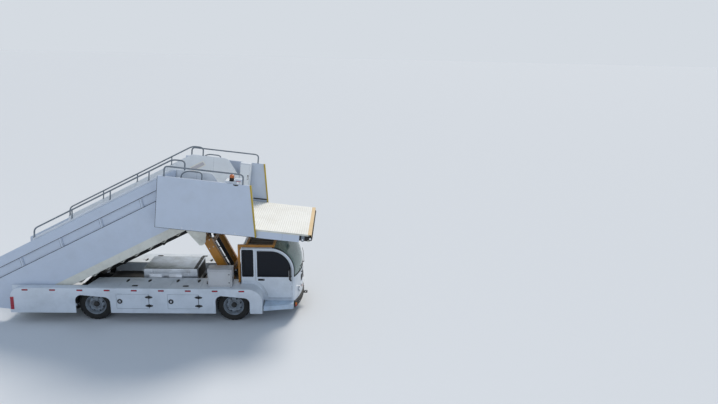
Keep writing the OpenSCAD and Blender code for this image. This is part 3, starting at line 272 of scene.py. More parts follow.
class Shape:
    """A piece in the making. Its solids are drawn in millimetres, each with its own material."""

    def __init__(self, move=None):
        self.bm = bmesh.new()
        self.move = move or (lambda p: p)
        self.finishes = []

    def add(self, points, faces, finish):
        if finish not in self.finishes:
            self.finishes.append(finish)
        verts = [self.bm.verts.new(p) for p in points]
        made = []
        for corners in faces:
            face = self.bm.faces.new([verts[i] for i in corners])
            face.material_index = self.finishes.index(finish)
            made.append(face)
        bmesh.ops.recalc_face_normals(self.bm, faces=made)
        return self

    def prism(self, outline, low, high, finish, along="y", holes=()):
        """A flat outline, with holes, drawn out along an axis."""
        at = "xyz".index(along)
        loops = [list(outline)] + [list(h) for h in holes]
        flat = [p for loop in loops for p in loop]
        count = len(flat)
        points = [(*p[:at], level, *p[at:]) for level in (low, high) for p in flat]
        faces, start = [], 0
        for loop in loops:
            n = len(loop)
            for i in range(n):
                j = (i + 1) % n
                faces.append((start + i, start + j, start + j + count, start + i + count))
            start += n
        if holes:
            tris = tessellate_polygon([[Vector((u, v, 0)) for u, v in loop] for loop in loops])
            faces += [tuple(t) for t in tris] + [tuple(i + count for i in t) for t in tris]
        else:
            faces += [tuple(range(count)), tuple(range(count, 2 * count))]
        return self.add(points, faces, finish)

    def block(self, x0, x1, y0, y1, z0, z1, finish):
        return self.prism([(x0, z0), (x1, z0), (x1, z1), (x0, z1)], y0, y1, finish)

    def turned(self, profile, centre, axis, finish, steps=40, closed=False, notch=None):
        """A profile of (radius, distance along axis) turned round an axis through centre."""
        axis = Vector(axis).normalized()
        side = axis.orthogonal().normalized()
        other = axis.cross(side)
        points, rows = [], []
        for k, (r, t) in enumerate(profile):
            if r == 0:
                rows.append([len(points)] * steps)
                points.append(Vector(centre) + axis * t)
                continue
            rows.append(list(range(len(points), len(points) + steps)))
            for i in range(steps):
                a = 2 * pi * i / steps
                reach = r + (notch(k, i) if notch else 0)
                points.append(Vector(centre) + axis * t + (side * cos(a) + other * sin(a)) * reach)
        faces = []
        pairs = list(zip(rows, rows[1:])) + ([(rows[-1], rows[0])] if closed else [])
        for low, high in pairs:
            for i in range(steps):
                j = (i + 1) % steps
                ring = [low[i], low[j], high[j], high[i]]
                ring = [v for n, v in enumerate(ring) if v not in ring[:n]]
                if len(ring) > 2:
                    faces.append(tuple(ring))
        if not closed:
            for row in (rows[0], rows[-1]):
                if len(set(row)) > 2:
                    faces.append(tuple(row))
        return self.add(points, faces, finish)

    def plate(self, x0, x1, z0, z1, r, low, high, finish, along="y"):
        """A flat plate with rounded corners."""
        return self.prism(round_rect(x0, x1, z0, z1, r), low, high, finish, along)

    def ring(self, bore, r, length, centre, axis, finish, steps=40):
        return self.turned([(bore, 0), (r, 0), (r, length), (bore, length)], centre, axis, finish, steps,
                           closed=True)

    def rivet(self, at, out, finish, steps=8, flush=False):
        profile = [(5, -0.5), (4, 0.8), (0, 1.2)] if flush else [(5, 0), (4, 2), (0, 2.6)]
        return self.turned(profile, at, out, finish, steps)

    def bolts(self, centre, axis, reach, count, size, finish, start=0):
        """Bolt heads in a circle round an axis that lies along x, y or z."""
        u, v = [i for i in range(3) if not axis[i]]
        for k in range(count):
            a = radians(360 / count * k + start)
            at = list(centre)
            at[u] += reach * cos(a)
            at[v] += reach * sin(a)
            self.bolt(at, axis, size, finish)

    def bolt(self, centre, axis, size, finish):
        """A hexagon bolt head on its washer."""
        self.turned([(size * 0.62, 0), (size * 0.62, size * 0.08)], centre, axis, finish, 16)
        self.turned([(size * 0.5, size * 0.08), (size * 0.5, size * 0.42), (size * 0.42, size * 0.5)], centre,
                    axis, finish, 6)

    def boss(self, foot, edge, top, height, centre, axis, finish, steps=40):
        """A round foot or cap: straight to the edge, then sloping to its flat top."""
        return self.turned([(foot, 0), (foot, edge), (top, height), (0, height)], centre, axis, finish, steps)

    def rod(self, p, q, radius, finish, steps=20):
        run = Vector(q) - Vector(p)
        return self.turned([(radius, 0), (radius, run.length)], p, run, finish, steps)

    def tube(self, corners, radius, finish, bend=60, steps=14):
        """A bent tube through corners, with a smooth bend at each."""
        path = rounded_path(corners, bend)
        normal = None
        points, rows = [], []
        for i, p in enumerate(path):
            ahead = (path[min(i + 1, len(path) - 1)] - path[max(i - 1, 0)]).normalized()
            normal = ahead.orthogonal() if normal is None else normal - ahead * normal.dot(ahead)
            normal.normalize()
            across = ahead.cross(normal)
            rows.append(len(points))
            for k in range(steps):
                a = 2 * pi * k / steps
                points.append(p + (normal * cos(a) + across * sin(a)) * radius)
        faces = [tuple(range(steps)), tuple(range(rows[-1], rows[-1] + steps))]
        for low, high in zip(rows, rows[1:]):
            faces += [(low + k, low + (k + 1) % steps, high + (k + 1) % steps, high + k)
                      for k in range(steps)]
        return self.add(points, faces, finish)

    def hoop(self, foot, other, lift, radius, finish, bend=60, steps=14):
        """A tube that rises from one foot, crosses over and comes down on the other."""
        top, far_top = ([c + up for c, up in zip(p, lift)] for p in (foot, other))
        return self.tube([foot, top, far_top, other], radius, finish, bend, steps)

    def slots(self, count, pitch, x0, x1, z0, z1, r, low, high, finish, along="y"):
        """Equal narrow plates one above the other, a pitch apart."""
        for k in range(count):
            self.plate(x0, x1, z0 + pitch * k, z1 + pitch * k, r, low, high, finish, along)

    def done(self, name, body, slot, bevel=0.0, replaces=(), smooth=32, segments=2):
        """Closes the piece: moves it into the frame, rounds its edges and lets it ride on a body."""
        for v in self.bm.verts:
            v.co = in_frame(self.move(Vector(v.co)))
        obj = smooth_faces(self.as_object(name))
        obj.data.set_sharp_from_angle(angle=radians(smooth))
        if bevel:
            rounding = obj.modifiers.new("rounding", "BEVEL")
            rounding.width = bevel / 1000
            rounding.segments = segments
            rounding.limit_method = "ANGLE"
            rounding.angle_limit = radians(40)
            rounding.harden_normals = True
        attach(obj, body)
        if replaces:
            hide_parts(*replaces)

    def carve(self, how, *others):
        """Joins, cuts or meets this piece with other shapes."""
        base = self.as_object("base")
        temps = [base]
        for other in others:
            tool = other.as_object("tool")
            temps.append(tool)
            op = base.modifiers.new("op", "BOOLEAN")
            op.operation = how
            op.solver = "EXACT"
            op.use_self = False
            op.object = tool
        result = base.evaluated_get(bpy.context.evaluated_depsgraph_get()).to_mesh()
        self.bm = bmesh.new()
        self.bm.from_mesh(result)
        for temp in temps:
            bpy.data.objects.remove(temp)
        bmesh.ops.dissolve_limit(self.bm, angle_limit=0.002, verts=self.bm.verts, edges=self.bm.edges,
                                 delimit={"MATERIAL"})
        return self

    def as_object(self, name):
        bmesh.ops.recalc_face_normals(self.bm, faces=self.bm.faces)
        return mesh_object(name, self.bm, self.finishes)

    def rounded(self, width, segments=3, only=None):
        """Rounds the edges now, before the piece is cut."""
        edges = [e for e in self.bm.edges if e.is_manifold and e.calc_face_angle(0) > radians(40)
                 and (only is None or only(e))]
        bmesh.ops.bevel(self.bm, geom=edges, offset=width, segments=segments, affect="EDGES", profile=0.5)
        return self

    def mirrored(self):
        bmesh.ops.scale(self.bm, vec=(1, -1, 1), verts=self.bm.verts)
        bmesh.ops.reverse_faces(self.bm, faces=self.bm.faces)
        return self


def rounded_path(corners, bend):
    corners = [Vector(c) for c in corners]
    path = [corners[0]]
    for a, b, c in zip(corners, corners[1:], corners[2:]):
        u, v = (a - b).normalized(), (c - b).normalized()
        reach = min(bend, (a - b).length * 0.45, (c - b).length * 0.45)
        for i in range(7):
            t = i / 6
            path.append((b + u * reach) * (1 - t) ** 2 + b * 2 * t * (1 - t) + (b + v * reach) * t ** 2)
    return path + [corners[-1]]


def arc(cx, cy, r, a0, a1, n=12):
    """Points of an arc in degrees."""
    turn = [radians(a0 + (a1 - a0) * i / n) for i in range(n + 1)]
    return [(cx + r * cos(a), cy + r * sin(a)) for a in turn]


def round_rect(x0, x1, z0, z1, r, n=5):
    return (arc(x1 - r, z0 + r, r, -90, 0, n) + arc(x1 - r, z1 - r, r, 0, 90, n)
            + arc(x0 + r, z1 - r, r, 90, 180, n) + arc(x0 + r, z0 + r, r, 180, 270, n))


def span(sign, a, b):
    """Two distances from the middle as y values in rising order."""
    return sorted((sign * a, sign * b))


def to_side(sign, *shapes):
    """Mirrors shapes that are drawn on the left and belong on the right."""
    for shape in shapes if sign < 0 else ():
        shape.mirrored()


# Wheels

def tyre_profile():
    """The section of a tyre from bead to bead, with the grooves of its tread."""
    half = [(226, 78), (231, 90), (250, 98), (256, 103), (262, 99), (290, 107), (318, 107), (322, 104),
            (344, 102), (362, 95), (376, 84), (383, 72), (384, 56), (375, 54), (375, 46), (384.5, 44),
            (385, 22), (376, 20), (376, 12), (385, 10)]
    return [(r, -t) for r, t in half] + [(r, t) for r, t in reversed(half)]


def wheel(end, side, sign):
    place = f"{end}_{side}"
    x = {"rear": 0, "front": WHEELBASE}[end]
    hub = (x, sign * TRACK, AXLE_Z)
    out = (0, sign, 0)
    profile = tyre_profile()
    shoulder = {k for k, (r, t) in enumerate(profile) if 60 < abs(t) < 100 and r > 340}
    tyre = Shape().turned(profile, hub, out, tyre_rubber, 168, closed=True,
                          notch=lambda k, i: -9 if k in shoulder and i % 7 < 2 else 0)
    tyre.done(f"tyre_{place}", f"wheel_{place}", "tyre_rubber", replaces=[f"tyre_{place}"], smooth=24)
    rim = Shape().turned([(225.7, -76), (236, -92), (240, -92), (240, -96), (232, -96), (218, -80),
                          (214, -60), (198, -40), (198, 40), (214, 60), (218, 80), (232, 96), (240, 96),
                          (240, 92), (236, 92), (225.7, 76)], hub, out, rim_paint, 72, closed=True)
    disc = Shape().turned([(36, 18), (36, 34), (104, 34), (122, 52), (150, 55), (176, 44), (199, 14),
                           (199, 6), (172, 34), (148, 43), (126, 40), (108, 20), (60, 18)], hub, out,
                           rim_paint, 72, closed=True)
    holes = Shape()
    for k in range(8):
        u, w = on_circle(166, 45 * k + 22.5)
        holes.rod((x + u, sign * (TRACK - 20), AXLE_Z + w), (x + u, sign * (TRACK + 90), AXLE_Z + w), 19,
                  rim_paint)
    disc.carve("DIFFERENCE", holes)
    disc.done(f"disc_{place}", f"wheel_{place}", "rim_paint", smooth=30)
    rim.bolts((x, sign * (TRACK + 34), AXLE_Z), out, 84, 6, 30, rim_paint)
    rim.turned([(62, 30), (62, 66), (56, 74), (40, 78), (0, 78)], hub, out, chassis_paint, 36)
    rim.rod((x + 150, sign * (TRACK + 48), AXLE_Z + 60), (x + 140, sign * (TRACK + 78), AXLE_Z + 56), 5,
            black_rubber, 10)
    rim.done(f"rim_{place}", f"wheel_{place}", "rim_paint", replaces=[f"rim_{place}"], smooth=30)


for side, sign in SIDES:
    for end in ("rear", "front"):
        wheel(end, side, sign)

# Side bodies with rounded upper edges, wheel arches, doors and lids

REAR_X, FENDER_X = -1880, WHEELBASE + 685
STRIP_Y = SIDE_Y - 185
SKIRT_DOORS = [(536, 1284, 362, 727), (1704, 2422, 362, 727)]
DECK_LIDS = [(560, 1290, 680, 1070), (1730, 2450, 680, 1070)]


def side_outline(i, foot):
    return ([(REAR_X + i, foot)] + arc(-1610, DECK_Z - 240, 240 - i, 172, 90, 14)
            + arc(FENDER_X - 330, DECK_Z - 330, 330 - i, 90, 0, 20) + [(FENDER_X - i, foot)])


def arch_outline(x):
    return [(x - 410, 150)] + arc(x - 250, 550, 150, 176, 92, 12) + arc(x + 260, 510, 140, 78, 2,
                                                                        12) + [(x + 410, 150)]


def plan_outline():
    inner = SIDE_Y - 650
    return [(REAR_X - 20, STRIP_Y), (-160, STRIP_Y), (-70, inner), (2780, inner), (2780, 550), (3315, 550),
            (3315, 810), (FENDER_X + 20, 810), (FENDER_X + 20, SIDE_Y + 5), (REAR_X - 20, SIDE_Y + 5)]


def hinge(shape, at, moving, finish, reach):
    """Half of a door hinge with an oval flange; at(u, v, w) places a point across the hinge, out of the wall
    and along the pin."""
    way = -1 if moving else 1
    knuckles = ((-22, 22),) if moving else ((-38, -24), (24, 38))
    r, reach_along = (7.5, 22) if moving else (4, 38)
    shape.turned([(r, -reach_along), (r, reach_along)], at(0, 0, 0), at.along, finish, 20)
    oval = [(way * (4 + on_circle(reach, a)[0]), on_circle(30, a)[1]) for a in range(-90, 91, 15)]
    count = len(oval)
    shape.add([at(u, -9, w) for u, w in oval] + [at(u, -3, w) for u, w in oval],
              [tuple(range(count)), tuple(range(count, 2 * count))]
              + [(i, (i + 1) % count, (i + 1) % count + count, i + count) for i in range(count)], finish)
    strap = ((way * 18, -4), (0, -4), (0, 6), (way * 10, 6))
    for ends in knuckles:
        shape.add([at(u, v, w) for w in ends for u, v in strap],
                  [(0, 1, 2, 3), (4, 5, 6, 7), (0, 1, 5, 4), (1, 2, 6, 5), (2, 3, 7, 6), (3, 0, 4, 7)],
                  finish)
    for w in (-14, 14):
        shape.rivet(at(way * (reach * 0.7 + 1), -3, w), at.out, chrome, steps=10)


class HingeAt:
    """Where a hinge sits: its pin, the way to the fixed side, out of the wall and along the pin."""

    def __init__(self, pin, fixed, out, along):
        self.pin, self.fixed, self.out, self.along = Vector(pin), Vector(fixed), Vector(out), Vector(along)

    def __call__(self, u, v, w):
        return self.pin + self.fixed * u + self.out * v + self.along * w


def hang(shape, places, moving, finish, reach=84):
    for at in places:
        hinge(shape, at, moving, finish, reach)


def skirt_hinges(door, sign):
    return [HingeAt((door[1] - 3, sign * (SIDE_Y + 8), z), AHEAD, (0, sign, 0), UP)
            for z in (door[2] + 75, door[3] - 75)]


def lid_hinges(lid, sign):
    return [HingeAt((x, sign * (lid[2] + 3), DECK_Z + 8), (0, -sign, 0), UP, AHEAD)
            for x in (lid[0] + 110, lid[1] - 110)]


def side_body(side, sign):
    shell = Shape().prism(side_outline(0, SKIRT_Z), 300, SIDE_Y, enamel)
    shell.rounded(16, 3, only=lambda e: min(v.co.y for v in e.verts) > 1000
                  and min(v.co.z for v in e.verts) > 300)
    keep = Shape().prism(plan_outline(), 200, 900, enamel, along="z")
    inner = Shape().prism(side_outline(8, 100), 100, SIDE_Y - 8, enamel)
    openings = Shape()
    for x in (0, WHEELBASE):
        openings.prism(arch_outline(x), SIDE_Y - 60, SIDE_Y + 60, enamel)
    for x0, x1, z0, z1 in SKIRT_DOORS:
        openings.plate(x0, x1, z0, z1, 14, SIDE_Y - 30, SIDE_Y + 30, enamel)
    for x0, x1, y0, y1 in DECK_LIDS:
        openings.plate(x0, x1, y0, y1, 14, DECK_Z - 50, DECK_Z + 50, enamel, "z")
    shell.carve("INTERSECT", keep).carve("DIFFERENCE", inner).carve("DIFFERENCE", openings)
    wall = Shape().block(REAR_X + 2, -560.3, STRIP_Y, STRIP_Y + 8, 300, DECK_Z - 2, enamel)
    bore = Shape().rod((PIVOT.x, STRIP_Y - 40, PIVOT.z), (PIVOT.x, STRIP_Y + 40, PIVOT.z), 60, enamel, 40)
    wall.carve("DIFFERENCE", bore)
    for x0, x1, y in ((-70, 2780, 500), (2779, 3315, 550)):
        wall.block(x0, x1, y, y + 8, 628, DECK_Z - 2, enamel)
    wall.block(2772, 2780, 500, 558, 628, DECK_Z - 2, enamel)
    for x in (470, 1494, 2600):
        wall.block(x - 20, x + 20, SIDE_Y - 58, SIDE_Y - 7, 580, DECK_Z - 2, enamel)
    # Rolled lips round the wheel arches
    for x in (0, WHEELBASE):
        lip = [(px, SIDE_Y - 4, pz) for px, pz in arch_outline(x) if pz >= SKIRT_Z]
        wall.tube([(lip[0][0], SIDE_Y - 4, SKIRT_Z + 2)] + lip + [(lip[-1][0], SIDE_Y - 4, SKIRT_Z + 2)], 6,
                  enamel, bend=4, steps=10)
    to_side(sign, shell, wall)
    for door in SKIRT_DOORS:
        hang(wall, skirt_hinges(door, sign), False, chassis_paint)
    for lid in DECK_LIDS:
        hang(wall, lid_hinges(lid, sign), False, chassis_paint)
    shell.done(f"side_panels_{side}", "chassis", "white_paint", replaces=[f"side_body_{side}"], smooth=30)
    wall.done(f"side_walls_{side}", "chassis", "white_paint", bevel=1.5)
    trim = Shape()
    face = sign * SIDE_Y
    for i in range(9):
        x = -1500 + 614 * i
        trim.plate(x - 62, x + 62, 800, 828, 5, *span(sign, SIDE_Y, SIDE_Y + 7), red_lens)
        trim.plate(x - 67, x + 67, 795, 833, 8, *span(sign, SIDE_Y, SIDE_Y + 3), black_rubber)
    # Two red marker strips at the rear end of the skirt
    for x in (REAR_X + 12, REAR_X + 52):
        trim.prism([(x, 330), (x + 40, 330), (x + 56, 640), (x + 16, 640)], *span(sign, SIDE_Y, SIDE_Y + 3),
                   red_lens)
    # Rivets along the seams of the skirt sheets
    for x in (-1120, -620, 2560, 1440):
        for z in range(290, 790, 62):
            trim.turned([(4.5, 0), (3.6, 1.8), (0, 2.4)], (x, face, z), (0, sign, 0), enamel, 8)
    trim.done(f"side_trim_{side}", "chassis", "lamp_lens", bevel=1.2)


def skirt_door(side, sign, number, door):
    x0, x1, z0, z1 = door
    leaf = Shape().plate(x0 + 6, x1 - 14, z0 + 6, z1 - 6, 9, *span(sign, SIDE_Y - 8, SIDE_Y), enamel)
    hang(leaf, skirt_hinges(door, sign), True, chassis_paint)
    # Round lock: dark dished rose with a bright barrel and its key slot
    lock = (x0 + 80, sign * SIDE_Y, (z0 + z1) / 2)
    out = (0, sign, 0)
    leaf.turned([(60, -2), (60, 3), (55, 6), (48, 6), (42, 3), (0, 3)], lock, out, chassis_paint, 48)
    leaf.turned([(26, 2), (26, 5.4), (23, 6), (12, 6), (10, 4), (0, 4)], lock, out, chrome, 32)
    leaf.plate(lock[0] - 3, lock[0] + 3, lock[2] - 9, lock[2] + 9, 2, *span(sign, SIDE_Y, SIDE_Y + 5),
               black_rubber)
    leaf.done(f"skirt_leaf_{side}_{number}", f"hatch_{side}_{number}", "white_paint", bevel=1.6,
              replaces=[f"skirt_door_{side}_{number}"])


def deck_lid(side, sign, number, lid):
    x0, x1, y0, y1 = lid
    leaf = Shape().plate(x0 + 6, x1 - 6, y0 + 14, y1 - 6, 9, DECK_Z - 8, DECK_Z, enamel, "z")
    # Latch plate and its grip
    latch_x, latch_y = x0 + 370, y1 - 85
    leaf.plate(latch_x - 72, latch_x + 72, latch_y - 36, latch_y + 36, 35, DECK_Z - 1, DECK_Z + 4,
               chassis_paint, "z")
    leaf.plate(latch_x - 48, latch_x + 52, latch_y - 15, latch_y + 15, 14, DECK_Z + 3, DECK_Z + 9,
               black_rubber, "z")
    to_side(sign, leaf)
    hang(leaf, lid_hinges(lid, sign), True, chassis_paint)
    leaf.done(f"deck_leaf_{side}_{number}", f"lid_{side}_{number}", "white_paint", bevel=1.6,
              replaces=[f"deck_lid_{side}_{number}"])


for side, sign in SIDES:
    side_body(side, sign)
    for number, door in enumerate(SKIRT_DOORS, 1):
        skirt_door(side, sign, number, door)
    for number, lid in enumerate(DECK_LIDS, 1):
        deck_lid(side, sign, number, lid)

# Cab

PILLAR_X, PILLAR_Z, PILLAR_R = CAB_REAR + 690, 1200, 550
DOOR_FRONT = PILLAR_X + PILLAR_R
WELL_X, WELL_Z, WELL_R = FENDER_X - 435, 450, 500
BROW = 620
BROW_Z = CAB_TOP - BROW
CAB_FLOOR = DECK_Z + 45


def cab_ring(z, inset):
    """Plan of the cab at a height: straight sides, rounded corners and a bowed front."""
    front = CAB_FRONT - inset
    if z > BROW_Z:
        front = CAB_FRONT - BROW + sqrt(max((BROW - inset) ** 2 - (z - BROW_Z) ** 2, 0))
    rear = CAB_REAR + inset
    if z < CAB_FLOOR + inset:
        rear = WELL_X + sqrt(max((WELL_R + inset) ** 2 - (z - WELL_Z) ** 2, 0))
    half = CAB_Y - inset
    roof = 45 - inset * 0.5
    rise = min(max(z - (CAB_TOP - inset - roof), 0), roof)
    lean = roof - sqrt(roof ** 2 - rise ** 2)
    half, rear = half - lean, rear + lean
    # The corners of the front stand further back at the sill than at the roof
    setback = 190 - 108 * min(max((z - BROW_Z) / BROW, 0), 1)
    corner = arc(front - setback, half - 60, 60, 90, 20, 8)
    edge_x, edge_y = corner[-1]
    nose = [(front - (front - edge_x) * (k / 8) ** 2, edge_y * k / 8) for k in range(7, -1, -1)]
    left = [(rear, half - 12), (rear + 12, half)] + corner + nose
    return left + [(x, -y) for x, y in reversed(left[:-1])]


def cab_body(inset, finish):
    """The closed skin of the cab, inset from its outer face, as a stack of rings."""
    foot = CAB_FOOT + inset
    heights = [foot + (BROW_Z - foot) * i / 12 for i in range(12)]
    heights += [BROW_Z + (BROW - inset) * sin(radians(90 * i / 26)) for i in range(27)]
    heights = sorted(set(heights + [CAB_FLOOR + inset - 0.02, CAB_FLOOR + inset]))
    rings = [[(x, y, z) for x, y in cab_ring(z, inset)] for z in heights]
    n = len(rings[0])
    points = [p for ring in rings for p in ring]
    faces = [tuple(range(n)), tuple(range(len(points) - n, len(points)))]
    for i in range(len(rings) - 1):
        faces += [(i * n + k, i * n + (k + 1) % n, (i + 1) * n + (k + 1) % n, (i + 1) * n + k)
                  for k in range(n)]
    return Shape().add(points, faces, finish)


def door_outline(grow):
    front = DOOR_FRONT - 50 + grow
    low = CAB_FOOT + 50 - grow
    r = WELL_R + 40 - grow
    start = degrees(asin((low - WELL_Z) / r))
    return ([(CAB_REAR + 340 - grow, CAB_FLOOR + 20), (CAB_REAR + 340 - grow, CAB_TOP - 50 + grow)]
            + arc(PILLAR_X, PILLAR_Z, PILLAR_R - 50 + grow, 90, 0, 24) + [(front, low)]
            + arc(WELL_X, WELL_Z, r, start, 58, 14))


def window_outline(shrink):
    r = PILLAR_R - 95 - shrink
    x0, z0, z1 = CAB_REAR + 385 + shrink, SILL_Z + shrink, CAB_TOP - 95 - shrink
    return (arc(x0 + 25, z0 + 25, 25, 270, 180, 5) + arc(x0 + 25, z1 - 25, 25, 180, 90, 5)
            + arc(PILLAR_X, PILLAR_Z, r, 88, 0, 24) + arc(PILLAR_X + r - 25, z0 + 25, 25, 0, -90, 5))


def quarter_outline(shrink):
    return round_rect(CAB_REAR + 50 + shrink, CAB_REAR + 280 - shrink, SILL_Z + shrink, CAB_TOP - 90 - shrink,
                      25)


def rear_window_outline(shrink):
    return round_rect(-560 + shrink, 560 - shrink, 1120 + shrink, 1620 - shrink, 40)


def screen_block(shrink):
    """The block of space that the wrap-round windscreen fills."""
    r = PILLAR_R + shrink
    outline = ([(PILLAR_X + 30 + shrink, CAB_TOP + 200), (PILLAR_X + 30 + shrink, PILLAR_Z + r - 0.5)]
               + arc(PILLAR_X, PILLAR_Z, r, 86, 0, 24)
               + [(PILLAR_X + r, SILL_Z + shrink), (CAB_FRONT + 100, SILL_Z + shrink),
                  (CAB_FRONT + 100, CAB_TOP + 200)])
    side = Shape().prism(outline, -CAB_Y - 50, CAB_Y + 50, enamel)
    middle = Shape().block(PILLAR_X + 30 + shrink, CAB_FRONT + 100, -CAB_Y + 40 + shrink, CAB_Y - 40 - shrink,
                           SILL_Z + shrink, CAB_TOP + 200, enamel)
    return side.carve("UNION", middle)


def band_along(shape, outline, width, low, high, finish):
    """A flat band of even width that follows a closed outline on a wall."""
    inner = []
    n = len(outline)
    centre = Vector([sum(c) / n for c in zip(*outline)])
    for i, p in enumerate(outline):
        a, b = Vector(outline[i - 1]), Vector(outline[(i + 1) % n])
        run = (b - a).normalized()
        out = Vector((run.y, -run.x))
        if out.dot(Vector(p) - centre) < 0:
            out = -out
        inner.append(tuple(Vector(p) - out * width))
    shape.prism(outline, low, high, finish, holes=[inner])


def cab_hinges(sign):
    return [HingeAt((DOOR_FRONT - 47, sign * (CAB_Y + 8), z), AHEAD, (0, sign, 0), UP) for z in (600, 860)]


def cab():
    shell = cab_body(0, enamel)
    shell.carve("DIFFERENCE", cab_body(40, enamel))
    shell.carve("DIFFERENCE", screen_block(0))
    cuts = Shape().prism(door_outline(6), -CAB_Y - 50, CAB_Y + 50, enamel)
    windows = Shape().prism(quarter_outline(0), -CAB_Y - 50, CAB_Y + 50, enamel)
    rear = Shape().prism(rear_window_outline(0), CAB_REAR - 20, CAB_REAR + 100, enamel, along="x")
    shell.carve("DIFFERENCE", cuts, windows, rear)
    shell.done("cab_skin", "chassis", "white_paint", replaces=["cab_shell"], smooth=28)
    glass = cab_body(10, green_glass)
    glass.carve("DIFFERENCE", cab_body(16, green_glass)).carve("INTERSECT", screen_block(1))
    glass.done("windscreen", "chassis", "tinted_glass", replaces=["cab_glass"], smooth=28)
    seal = cab_body(-1.5, black_rubber)
    seal.carve("DIFFERENCE", cab_body(18, black_rubber)).carve("INTERSECT", screen_block(0.4))
    seal.carve("DIFFERENCE", screen_block(16))
    seal.done("windscreen_seal", "chassis", "black_plastic", smooth=28)
    panes = Shape()
    fittings = Shape()
    for sign in (-1, 1):
        panes.prism(quarter_outline(1), *span(sign, CAB_Y - 26, CAB_Y - 20), dark_glass)
        band_along(fittings, quarter_outline(0.5), 12, *span(sign, CAB_Y - 28, CAB_Y + 2), black_rubber)
        # Dark printed border of the bonded pane
        fittings.prism(round_rect(CAB_REAR + 18, CAB_REAR + 292, SILL_Z - 5, CAB_TOP - 36, 28),
                       *span(sign, CAB_Y - 1, CAB_Y + 3), dark_glass, holes=[quarter_outline(10)])
        # Fixed halves of the door's hinges
        hang(fittings, cab_hinges(sign), False, enamel, 15)
    panes.prism(rear_window_outline(1), CAB_REAR + 15, CAB_REAR + 21, dark_glass, along="x")
    panes.done("cab_panes", "chassis", "tinted_glass")
    fittings.prism(rear_window_outline(0.5), CAB_REAR - 2, CAB_REAR + 24, black_rubber, along="x",
                   holes=[rear_window_outline(13)])
    # Wipers: arms and blades parked above the sill
    for y in (-340, 330):
        fittings.rod((CAB_FRONT - 22, y, SILL_Z - 40), (CAB_FRONT + 12, y, SILL_Z - 40), 12, black_rubber)
        fittings.tube([(CAB_FRONT + 8, y, SILL_Z - 40), (CAB_FRONT + 2, y + 60, SILL_Z + 40),
                       (CAB_FRONT - 30, y + 330, SILL_Z + 110)], 5, black_rubber, bend=20, steps=8)
        fittings.tube([(CAB_FRONT - 3, y + 60, SILL_Z + 75), (CAB_FRONT - 30, y + 330, SILL_Z + 112),
                       (CAB_FRONT - 66, y + 560, SILL_Z + 130)], 6, black_rubber, bend=40, steps=8)
    # Closing plates between the deck, the fenders' shoulders and the cab
    gap = ([(CAB_REAR + 2, 853), (CAB_REAR + 2, 914)] + arc(WELL_X, WELL_Z, 505, 67, -1, 20)
           + [(FENDER_X - 12, 441)] + arc(FENDER_X - 330, DECK_Z - 330, 318, 0, 90, 14))
    for sign in (-1, 1):
        fittings.prism(gap, *span(sign, CAB_Y + 0.4, CAB_Y + 9.4), enamel)
    # Air slots in the front panel below the windscreen
    for k in range(5):
        z = 760 + 32 * k
        fittings.prism([(CAB_FRONT - 8 - (y / 340) ** 2 * 17, y) for y in range(-340, 341, 40)]
                       + [(CAB_FRONT + 3 - (y / 340) ** 2 * 17, y) for y in range(340, -341, -40)], z, z + 12,
                       black_rubber, along="z")
    fittings.done("cab_fittings", "chassis", "black_plastic", bevel=1.2)


